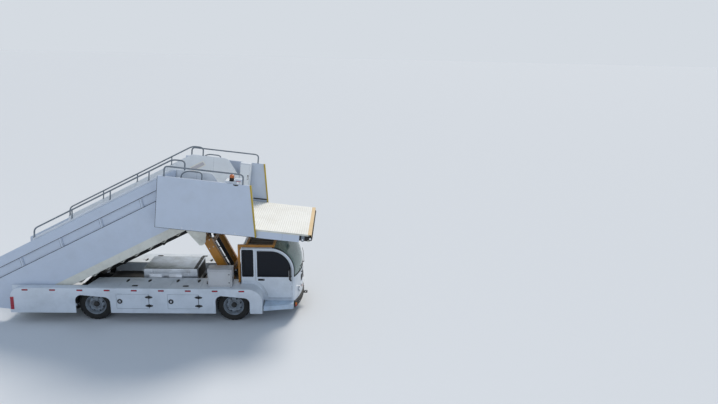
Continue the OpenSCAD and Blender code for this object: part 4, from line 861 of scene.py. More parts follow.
def cab_door(side, sign):
    leaf = Shape()
    y0, y1, skin = CAB_Y - 40, CAB_Y, CAB_Y - 8
    leaf.prism(door_outline(0), skin, y1, enamel, holes=[list(reversed(window_outline(0)))])
    frame_part = Shape().prism(door_outline(0), y0, skin + 1, enamel)
    limit = Shape().block(0, DOOR_FRONT - 96, 0, CAB_Y, 0, CAB_TOP, enamel)
    window = Shape().prism(window_outline(0), y0 - 10, y1 + 10, enamel)
    frame_part.carve("INTERSECT", limit).carve("DIFFERENCE", window)
    # Pale trim strip along the lower edge
    leaf.block(CAB_REAR + 640, DOOR_FRONT - 60, y1 - 1, y1 + 3, CAB_FOOT + 62, CAB_FOOT + 78, aluminium)
    to_side(sign, leaf, frame_part)
    band_along(leaf, window_outline(0.5), 14, *span(sign, CAB_Y - 30, CAB_Y + 2), black_rubber)
    leaf.prism([(max(x, CAB_REAR + 376), max(z, SILL_Z - 5)) for x, z in window_outline(-30)],
               *span(sign, CAB_Y - 1, CAB_Y + 3), dark_glass, holes=[window_outline(11)])
    # Recessed pull handle with its lock
    leaf.plate(CAB_REAR + 392, CAB_REAR + 548, SILL_Z - 100, SILL_Z - 52, 12,
               *span(sign, CAB_Y - 1, CAB_Y + 4), black_rubber)
    leaf.plate(CAB_REAR + 402, CAB_REAR + 512, SILL_Z - 88, SILL_Z - 66, 9,
               *span(sign, CAB_Y + 3, CAB_Y + 22), black_rubber)
    leaf.boss(9, 3, 7, 4, (CAB_REAR + 530, sign * (CAB_Y + 4), SILL_Z - 76), (0, sign, 0), chrome, 20)
    hang(leaf, cab_hinges(sign), True, enamel, 44)
    leaf.done(f"door_skin_{side}", f"door_{side}", "white_paint", bevel=2, replaces=[f"cab_door_{side}"])
    frame_part.done(f"door_frame_{side}", f"door_{side}", "white_paint", bevel=2)
    pane = Shape().prism(window_outline(1), *span(sign, CAB_Y - 26, CAB_Y - 20), dark_glass)
    pane.done(f"door_pane_{side}", f"door_{side}", "tinted_glass", replaces=[f"door_glass_{side}"])
    mirror = Shape()
    x = DOOR_FRONT - 75
    y = CAB_Y + 32
    mirror.tube([(x, sign * (CAB_Y + 0.5), SILL_Z - 90), (x, sign * y, SILL_Z - 90),
                 (x, sign * y, SILL_Z + 245)], 8, black_rubber, bend=24)
    mirror.tube([(x, sign * (CAB_Y + 0.5), SILL_Z + 20), (x, sign * y, SILL_Z + 20)], 8, black_rubber)
    for z in (SILL_Z - 90, SILL_Z + 20):
        mirror.turned([(20, 0.3), (20, 5), (14, 9), (0, 9)], (x, sign * CAB_Y, z), (0, sign, 0), black_rubber,
                      20)
    low, high = span(sign, CAB_Y + 38, CAB_Y + 158)
    head = Shape().plate(low, high, SILL_Z - 30, SILL_Z + 230, 34, x - 30, x + 6, black_rubber, "x")
    head.rounded(12, 3)
    head.plate(low + 10, high - 10, SILL_Z - 20, SILL_Z + 220, 26, x - 33, x - 29.5, chrome, "x")
    head.done(f"mirror_head_{side}", f"door_{side}", "black_plastic")
    mirror.done(f"mirror_arm_{side}", f"door_{side}", "black_plastic", replaces=[f"mirror_{side}"])


cab()
for side, sign in SIDES:
    cab_door(side, sign)

# Stairs: drawn level and then tilted down

def stair_shape():
    return Shape(tilt_down)


def strip(line, x0, x1, low, high):
    """The outline of a strip from low to high above a sloping line."""
    return [(x0, line(x0) + low), (x1, line(x1) + low), (x1, line(x1) + high), (x0, line(x0) + high)]


BOARD_END = FLOOR_X - 110
FOOT_X = PIVOT.x - 900


def along_slope(p, d, lift=0):
    """A point d mm up the slope from p and lift mm square to it."""
    return (p[0] + d * cos(SLOPE) - lift * sin(SLOPE), p[1] + d * sin(SLOPE) + lift * cos(SLOPE))


def lower_boards():
    for side, sign in SIDES:
        board = stair_shape()
        y0, y1 = LOWER_Y - 40, LOWER_Y
        # Band and panel in the board enamel, darker and bluer as painted shade
        board.prism(strip(top_line, FOOT_X, BOARD_END, 0, -232), y0, y1, board_enamel_painted_shade)
        panel = stair_shape()
        tail = PIVOT.x - 320
        panel.prism([(FOOT_X, 200), (FOOT_X, top_line(FOOT_X) - 495), (BOARD_END, top_line(BOARD_END) - 495),
                     (BOARD_END, lower_nose(BOARD_END) + 83), (tail, lower_nose(tail) + 83), (tail, 200)], y0,
                     y1, board_enamel_painted_shade)
        boss = stair_shape().rod((PIVOT.x, 800, PIVOT.z), (PIVOT.x, 1000, PIVOT.z), 65.3, board_enamel_painted_shade, 48)
        panel.carve("DIFFERENCE", boss)
        board.prism(strip(top_line, FOOT_X, BOARD_END, -231, -496), y0, y0 + 12, board_enamel_painted_shade)
        # Posts across the recessed strip, each with two rows of rivets
        for i in range(4):
            x = -1750 + i * 1050 * cos(SLOPE)
            board.prism([(x, top_line(x) - 231), (x + 70, top_line(x + 70) - 231),
                         (x + 130, top_line(x + 130) - 496), (x + 60, top_line(x + 60) - 496)], y0 + 1,
                         y1 - 2, board_enamel_painted_shade)
            for k in range(9):
                t = (k + 0.5) / 9
                for off in (14, 56):
                    px = x + off + 60 * t
                    pz = top_line(px) - 232 - 264 * t
                    board.turned([(7, -1), (6, 2), (0, 3)], (px, y1 - 2, pz), LEFT, chassis_paint, 8)
        # Edge mouldings: black lips along both edges of the strip, painted as the shadow lines there, and a
        # rounded top capping
        for lip in (-231, -484):
            board.prism(strip(top_line, FOOT_X + 2, BOARD_END - 2, lip, lip - 12), y1 - 6, y1 + 3,
                        chassis_paint)
        board.tube([(FOOT_X + 4, (y0 + y1) / 2, top_line(FOOT_X + 4) + 2),
                    (BOARD_END - 4, (y0 + y1) / 2, top_line(BOARD_END - 4) + 2)], 21, board_enamel_painted_shade, steps=18)
        to_side(sign, board, panel)
        board.done(f"board_band_{side}", "lower_flight", "white_paint", bevel=2.5, replaces=["lower_boards"])
        panel.done(f"board_panel_{side}", "lower_flight", "white_paint", bevel=2.5)


def upper_top(x):
    return upper_nose(x) + UPPER_RISE


RAIL_LEVEL = FLOOR_Z + 1105


def upper_boards():
    tail, bend = PIVOT.x + 100, FLOOR_X - 209
    y0, y1 = UPPER_Y - 30, UPPER_Y
    for side, sign in SIDES:
        # Board in the brighter enamel, which is painted light
        board = stair_shape().prism([(tail, lower_nose(tail) + 15), (tail, upper_top(tail)),
                                     (bend, RAIL_LEVEL), (FLOOR_X + 672, RAIL_LEVEL),
                                     (FLOOR_X + 1009.7, FLOOR_Z + 650), (FLOOR_X + 1009.7, FLOOR_Z + 0.3),
                                     (FLOOR_X + 5, FLOOR_Z + 0.3), (FLOOR_X + 5, FLOOR_Z - 220),
                                     (FLOOR_X, lower_nose(FLOOR_X) + 15)], y0, y1, enamel_painted_light)
        # Black strip in the gap between this board and the lower board, just above the treads: painted shade
        # of the gap
        board.prism([(tail, lower_nose(tail) + 20), (tail, lower_nose(tail) + 75),
                     (BOARD_END, lower_nose(BOARD_END) + 75), (BOARD_END, lower_nose(BOARD_END) + 20)],
                     y1 - 1, y1 + 14.5, chassis_paint)
        # Ribs on the inner face, with rivets
        for k in range(3):
            x = tail + 60 + k * 780
            board.prism([(x, upper_nose(x) + 60), (x + 44, upper_nose(x + 44) + 60),
                         (x + 44, upper_top(x + 44) - 12), (x, upper_top(x) - 12)], y0 - 14, y0 + 1,
                         enamel_painted_light)
            for j in range(8):
                board.rivet((x + 22, y0 - 14, upper_nose(x) + 130 + 130 * j), (0, -1, 0), tube_enamel)
        # Kick strip along the treads, and the joint and rivets of the landing's boards
        board.prism([(tail + 50, upper_nose(tail + 50) + 6), (tail + 50, upper_nose(tail + 50) + 46),
                     (FLOOR_X - 5, FLOOR_Z + 42), (FLOOR_X - 5, FLOOR_Z + 2)], y0 - 4, y0 + 1, aluminium)
        board.block(FLOOR_X + 20, FLOOR_X + 1000, y0 - 4, y0 + 1, FLOOR_Z + 4, FLOOR_Z + 90, aluminium)
        for face, out in ((y0, -1), (y1, 1)):
            board.block(FLOOR_X + 340, FLOOR_X + 343, *span(out, out * face - 1, out * face + 0.8),
                        FLOOR_Z + 94, RAIL_LEVEL - 20, tube_enamel)
            for j in range(9):
                for off in (-18, 21):
                    board.rivet((FLOOR_X + 341 + off, face, FLOOR_Z + 150 + 108 * j), (0, out, 0),
                                enamel_painted_light)
        # Slanted bare plate in a raised rim
        spot = (FLOOR_X - 172, FLOOR_Z + 678)
        rim, plate = ([along_slope(spot, d, lift) for d, lift in ((t, t), (373 - t, t), (373 - t, 118 - t),
                                                                  (t, 118 - t))] for t in (-10, 17))
        board.prism(rim, y0 - 7, y0 + 1, floor_enamel)
        board.prism(plate, y0 - 9, y0 - 6, sign_grey)
        edge = ((tail + 4, upper_top(tail + 4)), (bend, RAIL_LEVEL), (FLOOR_X + 672, RAIL_LEVEL),
                (FLOOR_X + 990, FLOOR_Z + 677))
        board.tube([(x, (y0 + y1) / 2, z - 6) for x, z in edge], 18, enamel_painted_light, steps=16)
        to_side(sign, board)
        board.done(f"upper_board_{side}", "upper_flight", "white_paint", bevel=2.5, replaces=["upper_boards"])


def cabinets():
    """Upright cabinets between the boards and the front of the landing."""
    x0, x1, y0, y1, top = FLOOR_X + 1010, FLOOR_X + 1270, UPPER_Y - 30, SIDE_Y, FLOOR_Z + 1040
    for side, sign in SIDES:
        # Case in the brighter enamel, which is painted light
        case = stair_shape().block(x0, x1, y0, y1, FLOOR_Z + 0.3, top, enamel_painted_light)
        case.rounded(12, 3, only=lambda e: max(v.co.z for v in e.verts) > top - 1)
        inner = stair_shape().block(x0 + 4, x1 - 4, y0 + 4, y1 - 4, FLOOR_Z - 1, top - 4, enamel_painted_light)
        case.carve("DIFFERENCE", inner)
        # Door with its seam, hinge barrels, handle and vent slots, and a shallow lid seam round the case
        case.plate(x0 + 15, x1 - 15, FLOOR_Z + 57, top - 22, 10, y0 - 0.8, y0 + 1, tube_enamel)
        case.plate(x0 + 18, x1 - 18, FLOOR_Z + 60, top - 25, 8, y0 - 5, y0 + 1, enamel_painted_light)
        for z in (FLOOR_Z + 160, FLOOR_Z + 540, top - 130):
            case.rod((x0 + 17, y0 - 5, z - 32), (x0 + 17, y0 - 5, z + 32), 6, chrome, 14)
        case.plate(x1 - 62, x1 - 34, top - 425, top - 295, 12, y0 - 8, y0 - 4, black_rubber)
        case.plate(x1 - 56, x1 - 40, top - 410, top - 330, 7, y0 - 15, y0 - 7, chrome)
        case.slots(6, 22, x0 + 60, x1 - 60, FLOOR_Z + 120, FLOOR_Z + 128, 4, y0 - 6, y0 - 4, tube_enamel)
        for x in (x0 + 14, x1 - 14):
            for z in (FLOOR_Z + 20, FLOOR_Z + 40):
                case.bolt((x, y0, z), (0, -1, 0), 11, chrome)
        case.block(x0 - 0.6, x1 + 0.6, y0 + 6, y1 - 0.6, top - 62, top - 59, tube_enamel)
        to_side(sign, case)
        case.done(f"cabinet_{side}", "upper_flight", "white_paint", bevel=1.5, replaces=["landing_cabinets"],
                  smooth=30)


def treads(name, count, drop, half_width, body, node_name):
    """Folded tread plates, each with an aluminium nosing, black grip strips and pressed ribs."""
    plate = stair_shape()
    for k in range(1, count + 1):
        x, z = FLOOR_X - TREAD_RUN * k, FLOOR_Z - drop - TREAD_RISE * k
        foot = z - (40 if k == count else TREAD_RISE)
        plate.prism([(x, z), (x + TREAD_RUN, z), (x + TREAD_RUN, z - 5), (x + 5, z - 5), (x + 5, foot),
                     (x, foot)], -half_width, half_width, cream)
        plate.prism([(x + 290, z - 3), (x + TREAD_RUN, z - 3), (x + TREAD_RUN, z + 12), (x + 305, z + 12),
                     (x + 298, z + 3), (x + 290, z + 1)], -half_width + 4, half_width - 4, cream)
        plate.prism([(x - 3, z - 34), (x - 3, z + 3), (x + 46, z + 3), (x + 46, z), (x, z), (x, z - 34)],
                    -half_width + 25, half_width - 25, aluminium)
        for i in range(4):
            plate.block(x + 4 + i * 11, x + 9 + i * 11, -half_width + 30, half_width - 30, z + 3, z + 5.5,
                        black_rubber)
        for i in range(8):
            plate.block(x + 70 + i * 27, x + 84 + i * 27, -half_width + 60, half_width - 60, z - 0.5, z + 2.2,
                        tube_enamel)
    if drop == 0:
        x, z = FLOOR_X - TREAD_RUN * count, FLOOR_Z - TREAD_RISE * count
        plate.prism([(x, z - 200), (x, z - 205), (x - 155, z - 205), (x - 155, z - 220), (x - 160, z - 220),
                     (x - 160, z - 200)], -half_width, half_width, cream)
        plate.prism([(x, z), (x + 5, z), (x + 5, z - 204), (x, z - 204)], -half_width, half_width, cream)
    plate.done(name, body, "cream_paint", bevel=0.8, replaces=[node_name])


def handrails():
    level = RAIL_LEVEL + 215
    start = PIVOT.x + 130
    y = UPPER_Y - 15
    rails = stair_shape()
    for sign in (-1, 1):
        rails.tube([(start, sign * y, upper_top(start) + 2), (start, sign * y, upper_top(start) + 215),
                    (FLOOR_X - 209, sign * y, level), (FLOOR_X + 65, sign * y, level),
                    (FLOOR_X + 65, sign * y, RAIL_LEVEL)], 17, tube_enamel, bend=90, steps=18)
        for i in range(4):
            x = start + i * 1000 * cos(SLOPE)
            if i:
                rails.tube([(x, sign * y, upper_top(x) + 4), (x, sign * y, upper_top(x) + 213)], 14,
                           tube_enamel)
            rails.boss(30, 8, 22, 12, (x, sign * y, upper_top(x) + 6), (-sin(SLOPE), 0, cos(SLOPE)),
                       tube_enamel, 20)
        # Grab rails of the landing, with foot flanges
        gy, foot, head = sign * 1022.5, FLOOR_X + 30, FLOOR_Z + 1135
        rails.tube([(foot, gy, FLOOR_Z + 0.3), (foot, gy, head - 133 * tan(SLOPE)), (foot + 133, gy, head),
                    (foot + 453, gy, head), (foot + 453, gy, FLOOR_Z + 0.3)], 15, tube_enamel, bend=80,
                    steps=16)
        for x in (foot, foot + 453):
            rails.boss(38, 6, 24, 10, (x, gy, FLOOR_Z + 0.3), UP, tube_enamel, 24)
    rails.done("handrail_tubes", "upper_flight", "tube_paint", replaces=["handrails"])


def landing():
    deck = stair_shape()
    x0, zf = FLOOR_X + 5, FLOOR_Z
    deck.block(x0, FLOOR_END - 40, -1150, 1150, zf - 40, zf - 5, cream)
    # Floor planks parallel to the front edge, with a fine bead down the middle of each
    planks = 58
    pitch = (FLOOR_END - 52 - x0) / planks
    for k in range(planks):
        a = x0 + k * pitch
        deck.prism([(a + 3, zf - 6), (a + 5, zf - 1), (a + 19, zf - 1), (a + 21, zf), (a + 29, zf),
                    (a + 31, zf - 1), (a + pitch - 5, zf - 1), (a + pitch - 3, zf - 6)], -1147, 1147,
                    floor_enamel)
    deck.prism([(FLOOR_END - 50, zf - 10), (FLOOR_END - 50, zf), (FLOOR_END + 27, zf),
                (FLOOR_END + 34, zf - 7), (FLOOR_END + 34, zf - 46), (FLOOR_END + 28, zf - 46),
                (FLOOR_END + 28, zf - 10)], -1149, 1149, peach)
    deck.done("landing_planks", "upper_flight", "cream_paint", replaces=["landing"])
    under = stair_shape()
    end = FLOOR_END - 240
    for sign in (-1, 1):
        # Pale fascia, in the board enamel that is painted shade, with joints and rivets; ahead of it a recess
        # whose back plate is black as painted shade, with a bracket
        under.block(x0, end, *span(sign, 1090, 1150), zf - 200, zf - 39, board_enamel_painted_shade)
        for x in range(int(x0) + 500, int(end), 620):
            under.block(x, x + 3, *span(sign, 1149, 1151.2), zf - 196, zf - 44, tube_enamel)
        for k in range(28):
            under.turned([(6, 0), (5, 2), (0, 2.6)], (x0 + 60 + k * 98, sign * 1150, zf - 185), (0, sign, 0),
                         board_enamel_painted_shade, 8)
        under.block(end - 1, FLOOR_END - 60, *span(sign, 1050, 1062), zf - 190, zf - 39, chassis_paint)
        under.plate(FLOOR_END - 196, FLOOR_END - 122, zf - 185, zf - 41, 34, *span(sign, 1061, 1140),
                    tube_enamel)
        under.boss(20, 6, 14, 9, (FLOOR_END - 159, sign * 1140, zf - 140), (0, sign, 0), chrome, 6)
        under.block(x0, FLOOR_END - 60, *span(sign, 300, 360), zf - 200, zf - 39, cream)
        for y in (1068, 300):
            under.prism([(FLOOR_END - 62, zf - 180), (FLOOR_END - 62, zf - 60), (FLOOR_END + 8, zf - 76),
                         (FLOOR_END + 24, zf - 100), (FLOOR_END + 8, zf - 124)], *span(sign, y, y + 14),
                         chassis_paint)
    for i in range(5):
        x = x0 + i * (FLOOR_L - 65) / 4
        half = 1149 if i < 4 else 1061
        under.block(x, x + 60, -half, half, zf - 200, zf - 39, cream)
    # Ribbed rubber roller along the front edge
    ribs = [(44 if k % 2 else 48, -1143 + 22 * (k + j)) for k in range(103) for j in (0, 1)]
    under.turned([(30, -1146)] + ribs + [(30, 1146)], (FLOOR_END + 10, 0, zf - 100), LEFT, black_rubber, 36)
    for sign in (-1, 1):
        under.boss(26, 3, 16, 4, (FLOOR_END + 10, sign * 1145.5, zf - 100), (0, sign, 0), chrome, 28)
    under.done("landing_frame", "upper_flight", "cream_paint", bevel=1.5)


def guards():
    gx, gz = FLOOR_X - 453, FLOOR_Z - 175
    top, front, lead = gz + 1181, gx + 2217, gx + 2217 - 203
    y0 = 1180
    for side, sign in SIDES:
        # Guard in the board enamel, darker and bluer as painted shade
        board = stair_shape().prism([(gx, gz), (gx + 20, top), (lead + 1, top), (front + 1, gz)], y0 + 1,
                                    y0 + 39, board_enamel_painted_shade)
        board.prism([(lead, top), (lead + 38, top), (front + 30, gz), (front - 1, gz)], y0 - 12, y0 + 40,
                    yellow)
        for k in range(11):
            t = (k + 0.5) / 11
            board.rivet((lead + 17 + (front - lead) * (1 - t), y0 + 40, gz + (top - gz) * t), LEFT,
                        chassis_paint, flush=True)
        # Dark strips along the rear and lower edges, painted as the shadow lines there; rivets along the
        # lower edge and the grip just below the top edge
        for seam in ([(gx, gz), (gx + 20, top), (gx + 28, top), (gx + 8, gz)],
                     [(gx, gz), (gx, gz + 8), (front, gz + 8), (front, gz)]):
            board.prism(seam, y0 + 38, y0 + 39.8, chassis_paint)
        for k in range(21):
            board.rivet((gx + 60 + 102 * k, y0 + 39, gz + 22), LEFT, board_enamel_painted_shade, flush=True)
        grip = arc(FLOOR_X + 1262, top - 8, 62, 180, 360, 16)
        board.prism([(x, top - 8 + (z - top + 8) * 0.55) for x, z in grip], y0 + 37, y0 + 40, chassis_paint)
        board.hoop((gx + 160, y0 + 20, top - 1), (lead - 150, y0 + 20, top - 1), (0, 0, 226), 17, tube_enamel,
                   bend=90, steps=18)
        for x in (gx + 160, lead - 150):
            board.boss(21, 8, 17, 10, (x, y0 + 20, top), UP, tube_enamel, 20)
        for x in (gx + 554.25, gx + 1507.56):
            board.block(x, x + 300, 1150.3, y0 + 1, gz + 20, gz + 70, chassis_paint)
            for b in (x + 40, x + 260):
                board.turned([(13, -1), (13, 0.7), (8, 1), (0, 1)], (b, y0 + 39, gz + 45), LEFT, chrome, 6)
        board.plate(front - 398, front - 44, FLOOR_Z + 50, FLOOR_Z + 78, 12, y0 - 12, y0 + 1, black_rubber)
        to_side(sign, board)
        board.done(f"guard_board_{side}_panel", f"guard_board_{side}", "white_paint", bevel=2,
                   replaces=[f"guard_{side}"])


lower_boards()
upper_boards()
treads("lower_treads", 12, FLIGHT_DROP, 910, "lower_flight", "lower_steps")
treads("upper_treads", 10, 0, 865, "upper_flight", "upper_steps")
handrails()
landing()
cabinets()
guards()

# Units on the deck, cab furniture and front end

def lozenges(shape, x0, x1, y0, y1, z, finish, pitch=46):
    """The raised lozenges of tread plate, set alternately askew."""
    for i in range(int((x1 - x0) / pitch)):
        for j in range(int((y1 - y0) / pitch)):
            x, y = x0 + (i + 0.5) * pitch, y0 + (j + 0.5) * pitch
            a = Vector((11, 11 if (i + j) % 2 else -11, 0))
            b = Vector((-a.y, a.x, 0)) * 0.28
            c = Vector((x, y, z))
            shape.add([c - a, c - b, c + a, c + b, c + Vector((0, 0, 1.8))],
                      [(0, 1, 4), (1, 2, 4), (2, 3, 4), (3, 0, 4)], finish)


def engine_cover():
    x0, x1, y, z0, z1 = 950, 2250, 430, 620.3, 1070
    hood = Shape().block(x0, x1, -y, y, z0, z1, aluminium)
    hood.rounded(20, 3, only=lambda e: min(v.co.z for v in e.verts) > z1 - 1
                 or abs(e.verts[0].co.z - e.verts[1].co.z) > 1)
    inner = Shape().block(x0 + 6, x1 - 6, -y + 6, y - 6, z0 - 10, z1 - 6, aluminium)
    hood.carve("DIFFERENCE", inner)
    hood.done("engine_hood", "chassis", "aluminium_plate", replaces=["engine_cover"], smooth=30)
    trim = Shape()
    lozenges(trim, x0 + 30, x1 - 110, -y + 28, y - 28, z1, aluminium)
    trim.done("engine_hood_tread", "chassis", "aluminium_plate")
    fittings = Shape()
    for sign in (-1, 1):
        # Pressed louvres, seams, catches and hinges of the hood
        for group in (1090, 1560):
            for k in range(7):
                z = 700 + 34 * k
                fittings.prism([(sign * (y - 1), z), (sign * (y + 7), z - 4), (sign * (y + 7), z - 8),
                                (sign * (y - 1), z + 15)], group, group + 300, aluminium, along="x")
                fittings.prism([(sign * (y - 1), z - 9), (sign * (y + 0.8), z - 9), (sign * (y + 0.8), z - 1),
                                (sign * (y - 1), z - 1)], group + 6, group + 294, black_rubber, along="x")
        fittings.plate(x0 + 20, x1 - 20, 968, 984, 6, *span(sign, y - 1, y + 3), aluminium)
        for x in (1160, 2030):
            fittings.plate(x - 14, x + 14, 930, 1010, 7, *span(sign, y, y + 9), chrome)
            fittings.hoop((x - 8, sign * (y + 6), 935), (x + 8, sign * (y + 6), 935), (0, sign * 8, -5), 2.5,
                          chrome, bend=6, steps=8)
    # Dark end bracket with its grille and the two lifting handles
    fittings.plate(-330, 330, 760, 1040, 18, x1 - 2, x1 + 6, chassis_paint, "x")
    fittings.slots(8, 30, -300, 300, 785, 797, 5, x1 + 5, x1 + 9, black_rubber, "x")
    fittings.plate(x1 - 96, x1 - 16, -y + 20, y - 20, 10, z1 - 1, z1 + 5, chassis_paint, "z")
    for y0 in (-260, 260):
        fittings.hoop((x1 - 70, y0 - 60, z1 + 4), (x1 - 70, y0 + 60, z1 + 4), (0, 0, 30), 6, chassis_paint,
                      bend=16, steps=10)
        for s in (-60, 60):
            fittings.boss(14, 3, 9, 5, (x1 - 70, y0 + s, z1 + 5), UP, chrome, 12)
    fittings.done("engine_hood_fittings", "chassis", "dark_paint", bevel=1)


def control_box():
    x0, x1, y0, y1, z0, z1 = 2620, 3175, 745, 1020, DECK_Z + 0.3, DECK_Z + 440
    case = Shape().block(x0, x1, y0, y1, z0, z1 - 36, box_enamel)
    case.rounded(12, 3, only=lambda e: abs(e.verts[0].co.z - e.verts[1].co.z) > 1)
    case.block(x0 + 12, x1 - 12, y0 + 12, y1 - 12, z1 - 37, z1 - 30, black_rubber)
    lid = Shape().prism([(y0 - 4, z1 - 31), (y0 - 4, z1 - 4), (y0 + 6, z1), (y1 - 30, z1), (y1 + 6, z1 - 16),
                         (y1 + 6, z1 - 31)], x0 - 5, x1 + 5, box_enamel, along="x")
    # Front door with its seam, hinges and catches, vent slots in the end, and the feet
    case.plate(x0 + 24, x1 - 24, z0 + 40, z1 - 56, 12, y1 - 1, y1 + 0.6, black_rubber)
    case.plate(x0 + 27, x1 - 27, z0 + 43, z1 - 59, 11, y1 - 1, y1 + 4, box_enamel)
    for z in (z0 + 110, z1 - 130):
        case.rod((x0 + 25, y1 + 5, z - 26), (x0 + 25, y1 + 5, z + 26), 6, chrome, 14)
        case.boss(15, 4, 12, 6, (x1 - 60, y1 + 4, z), LEFT, black_rubber, 24)
        case.plate(x1 - 63, x1 - 57, z - 10, z + 10, 2, y1 + 9, y1 + 12, chrome)
    case.slots(6, 22, y0 + 60, y1 - 60, z0 + 90, z0 + 98, 4, x1 - 0.5, x1 + 1.2, black_rubber, "x")
    for x in (x0 + 30, x1 - 30):
        case.block(x - 22, x + 22, y1 - 2, y1 + 26, z0, z0 + 5, box_enamel)
        case.bolt((x, y1 + 12, z0 + 5), UP, 15, chrome)
    # Armoured cable down to the deck
    case.tube([(x0 - 1, y0 + 90, z0 + 60), (x0 - 50, y0 + 90, z0 + 60), (x0 - 50, y0 + 90, z0)], 11,
              black_rubber, bend=40, steps=12)
    case.turned([(19, 0), (19, 12), (14, 18)], (x0, y0 + 90, z0 + 60), (-1, 0, 0), chrome, 6)
    case.turned([(24, 0), (24, 5), (14, 12)], (x0 - 50, y0 + 90, z0 - 0.2), UP, black_rubber, 20)
    case.mirrored().done("control_case", "chassis", "white_paint", bevel=1.2, replaces=["control_box"])
    lid.mirrored().done("control_lid", "chassis", "white_paint", bevel=4, segments=3)


def pad(name, x0, x1, y0, y1, z0, z1, crown):
    """A crowned cushion: its faces swell in the middle, its sides pull in between the corners."""
    bm = bmesh.new()
    bmesh.ops.create_cube(bm, size=2)
    bmesh.ops.subdivide_edges(bm, edges=bm.edges, cuts=9, use_grid_fill=True)
    centre = Vector((x0 + x1, y0 + y1, z0 + z1)) / 2
    half = Vector((x1 - x0, y1 - y0, z1 - z0)) / 2
    thin = min(range(3), key=lambda i: half[i])
    for v in bm.verts:
        p = v.co.copy()
        rest = [i for i in range(3) if i != thin]
        bulge = (1 - p[rest[0]] ** 2) * (1 - p[rest[1]] ** 2)
        seam = 1 - 0.35 * exp(-((p[rest[0]] * half[rest[0]]) / 14) ** 2) * (abs(p[thin]) > 0.9)
        offset = Vector([p[i] * half[i] for i in range(3)])
        offset[thin] *= (1 - crown / half[thin]) + crown / half[thin] * bulge * seam
        for i, j in (rest, rest[::-1]):
            offset[i] *= 1 - 0.05 * (1 - p[j] ** 2)
        # Rounded corners and edges
        squeeze = sum(abs(c) > 0.99 for c in p)
        offset *= (1, 1, 0.985, 0.95)[squeeze]
        v.co = in_frame(centre + offset)
    obj = smooth_faces(mesh_object(name, bm, [seat_cloth]))
    obj.modifiers.new("round", "SUBSURF").render_levels = 1
    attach(obj, "chassis")


def cab_inside():
    base = CAB_FLOOR + 40.3
    inside = Shape()
    for side, sign in SIDES:
        x, y = CAB_REAR + 75, sign * 360
        inside.plate(x + 10, x + 250, y - 210, y + 210, 30, base, base + 40, cab_plastic, "z")
        for fold in range(4):
            inside.plate(x + 26 - fold * 2, x + 236 + fold * 2, y - 190, y + 190, 30, base + 40 + 24 * fold,
                         base + 58 + 24 * fold, black_rubber, "z")
        inside.block(x + 4, x + 380, y - 215, y + 215, base + 128, base + 150, cab_plastic)
        inside.hoop((x + 30, y - 120, base + 140), (x + 30, y + 120, base + 140), (-16, 0, 460), 14,
                    cab_plastic)
        pad(f"seat_cushion_{side}", x + 20, x + 400, y - 225, y + 225, base + 148, base + 228, 16)
        pad(f"seat_back_{side}", x + 22, x + 92, y - 215, y + 215, base + 226, base + 590, 14)
        pad(f"seat_head_{side}", x + 28, x + 88, y - 120, y + 120, base + 600, base + 690, 10)
        # Lap belt buckle and its stalk
        inside.tube([(x + 80, y + 226, base + 140), (x + 130, y + 232, base + 235)], 7, black_rubber, steps=8)
        inside.plate(x + 118, x + 146, base + 230, base + 272, 6, y + 224, y + 240, red_lens)
    # Dashboard with its hood, gauges and switches
    dash = Shape()
    f, across = CAB_FRONT, Vector(LEFT)
    dash.prism([(f - 400, 700), (f - 180, 700), (f - 180, SILL_Z - 20), (f - 330, SILL_Z),
                (f - 430, SILL_Z - 80)], -CAB_Y + 72, CAB_Y - 72, cab_plastic)
    dash.prism([(f - 430, SILL_Z - 74), (f - 400, SILL_Z - 20), (f - 330, SILL_Z + 34),
                (f - 230, SILL_Z + 10), (f - 320, SILL_Z - 6)], 180, 560, cab_plastic)
    dash.rounded(9, 2)
    lean = Vector((-0.62, 0, 0.78))
    for y, r in ((270, 34), (350, 52), (440, 34)):
        spot = Vector((f - 408, y, SILL_Z - 42))
        dash.turned([(r, 0), (r, 5), (r - 5, 7), (r - 6, 3), (0, 3)], spot, lean, chrome, 28)
        dash.turned([(r - 6, 3.2), (0, 3.6)], spot, lean, lamp_lens, 28)
        dash.rod(spot + lean * 4, spot + lean * 4 + Vector((0.4, 0.8, 0.3)).normalized() * (r - 12), 1.5,
                 red_lens, 6)
    for k in range(9):
        y = -420 + 46 * k
        dash.block(f - 426, f - 402, y, y + 26, SILL_Z - 70, SILL_Z - 48,
                   black_rubber if k % 3 else amber_lens)
    dash.block(f - 380, f - 200, -300, 300, CAB_FOOT + 40.3, 701, cab_plastic)
    dash.done("dashboard", "chassis", "cab_plastic")
    # Column, wheel, levers and pedals
    tip = Vector((f - 505, 360, SILL_Z + 65))
    way = Vector((-0.759, 0, 0.651))
    inside.rod((f - 360, 360, SILL_Z - 60), tip - way * 4, 24, cab_plastic)
    inside.turned([(190 + u, w) for u, w in (on_circle(13, a) for a in range(0, 360, 30))], tip, way,
                  black_rubber, 56, closed=True)
    inside.turned([(40, -12), (44, 0), (36, 14), (0, 18)], tip, way, cab_plastic, 32)
    for a in (90, 210, 330):
        u, w = on_circle(1, a)
        spoke = across * u + way.cross(across) * w
        inside.rod(tip + spoke * 30, tip + spoke * 182, 9, cab_plastic, 12)
    for s in (-1, 1):
        inside.rod((f - 430, 360 + s * 24, SILL_Z), (f - 470, 360 + s * 150, SILL_Z + 46), 5, black_rubber,
                   10)
        inside.turned([(5, 0), (10, 6), (10, 30), (0, 34)], (f - 470, 360 + s * 150, SILL_Z + 46),
                      (-0.3, s, 0.35), black_rubber, 14)
    for k, y in enumerate((250, 350, 470)):
        inside.rod((f - 392, y, 720), (f - 440, y, 590), 7, chassis_paint, 10)
        inside.block(f - 470, f - 432, y - 34, y + 34, 520 if k == 2 else 560, 600, black_rubber)
    inside.done("cab_fixtures", "chassis", "cab_plastic", bevel=1.5, replaces=["cab_interior"])


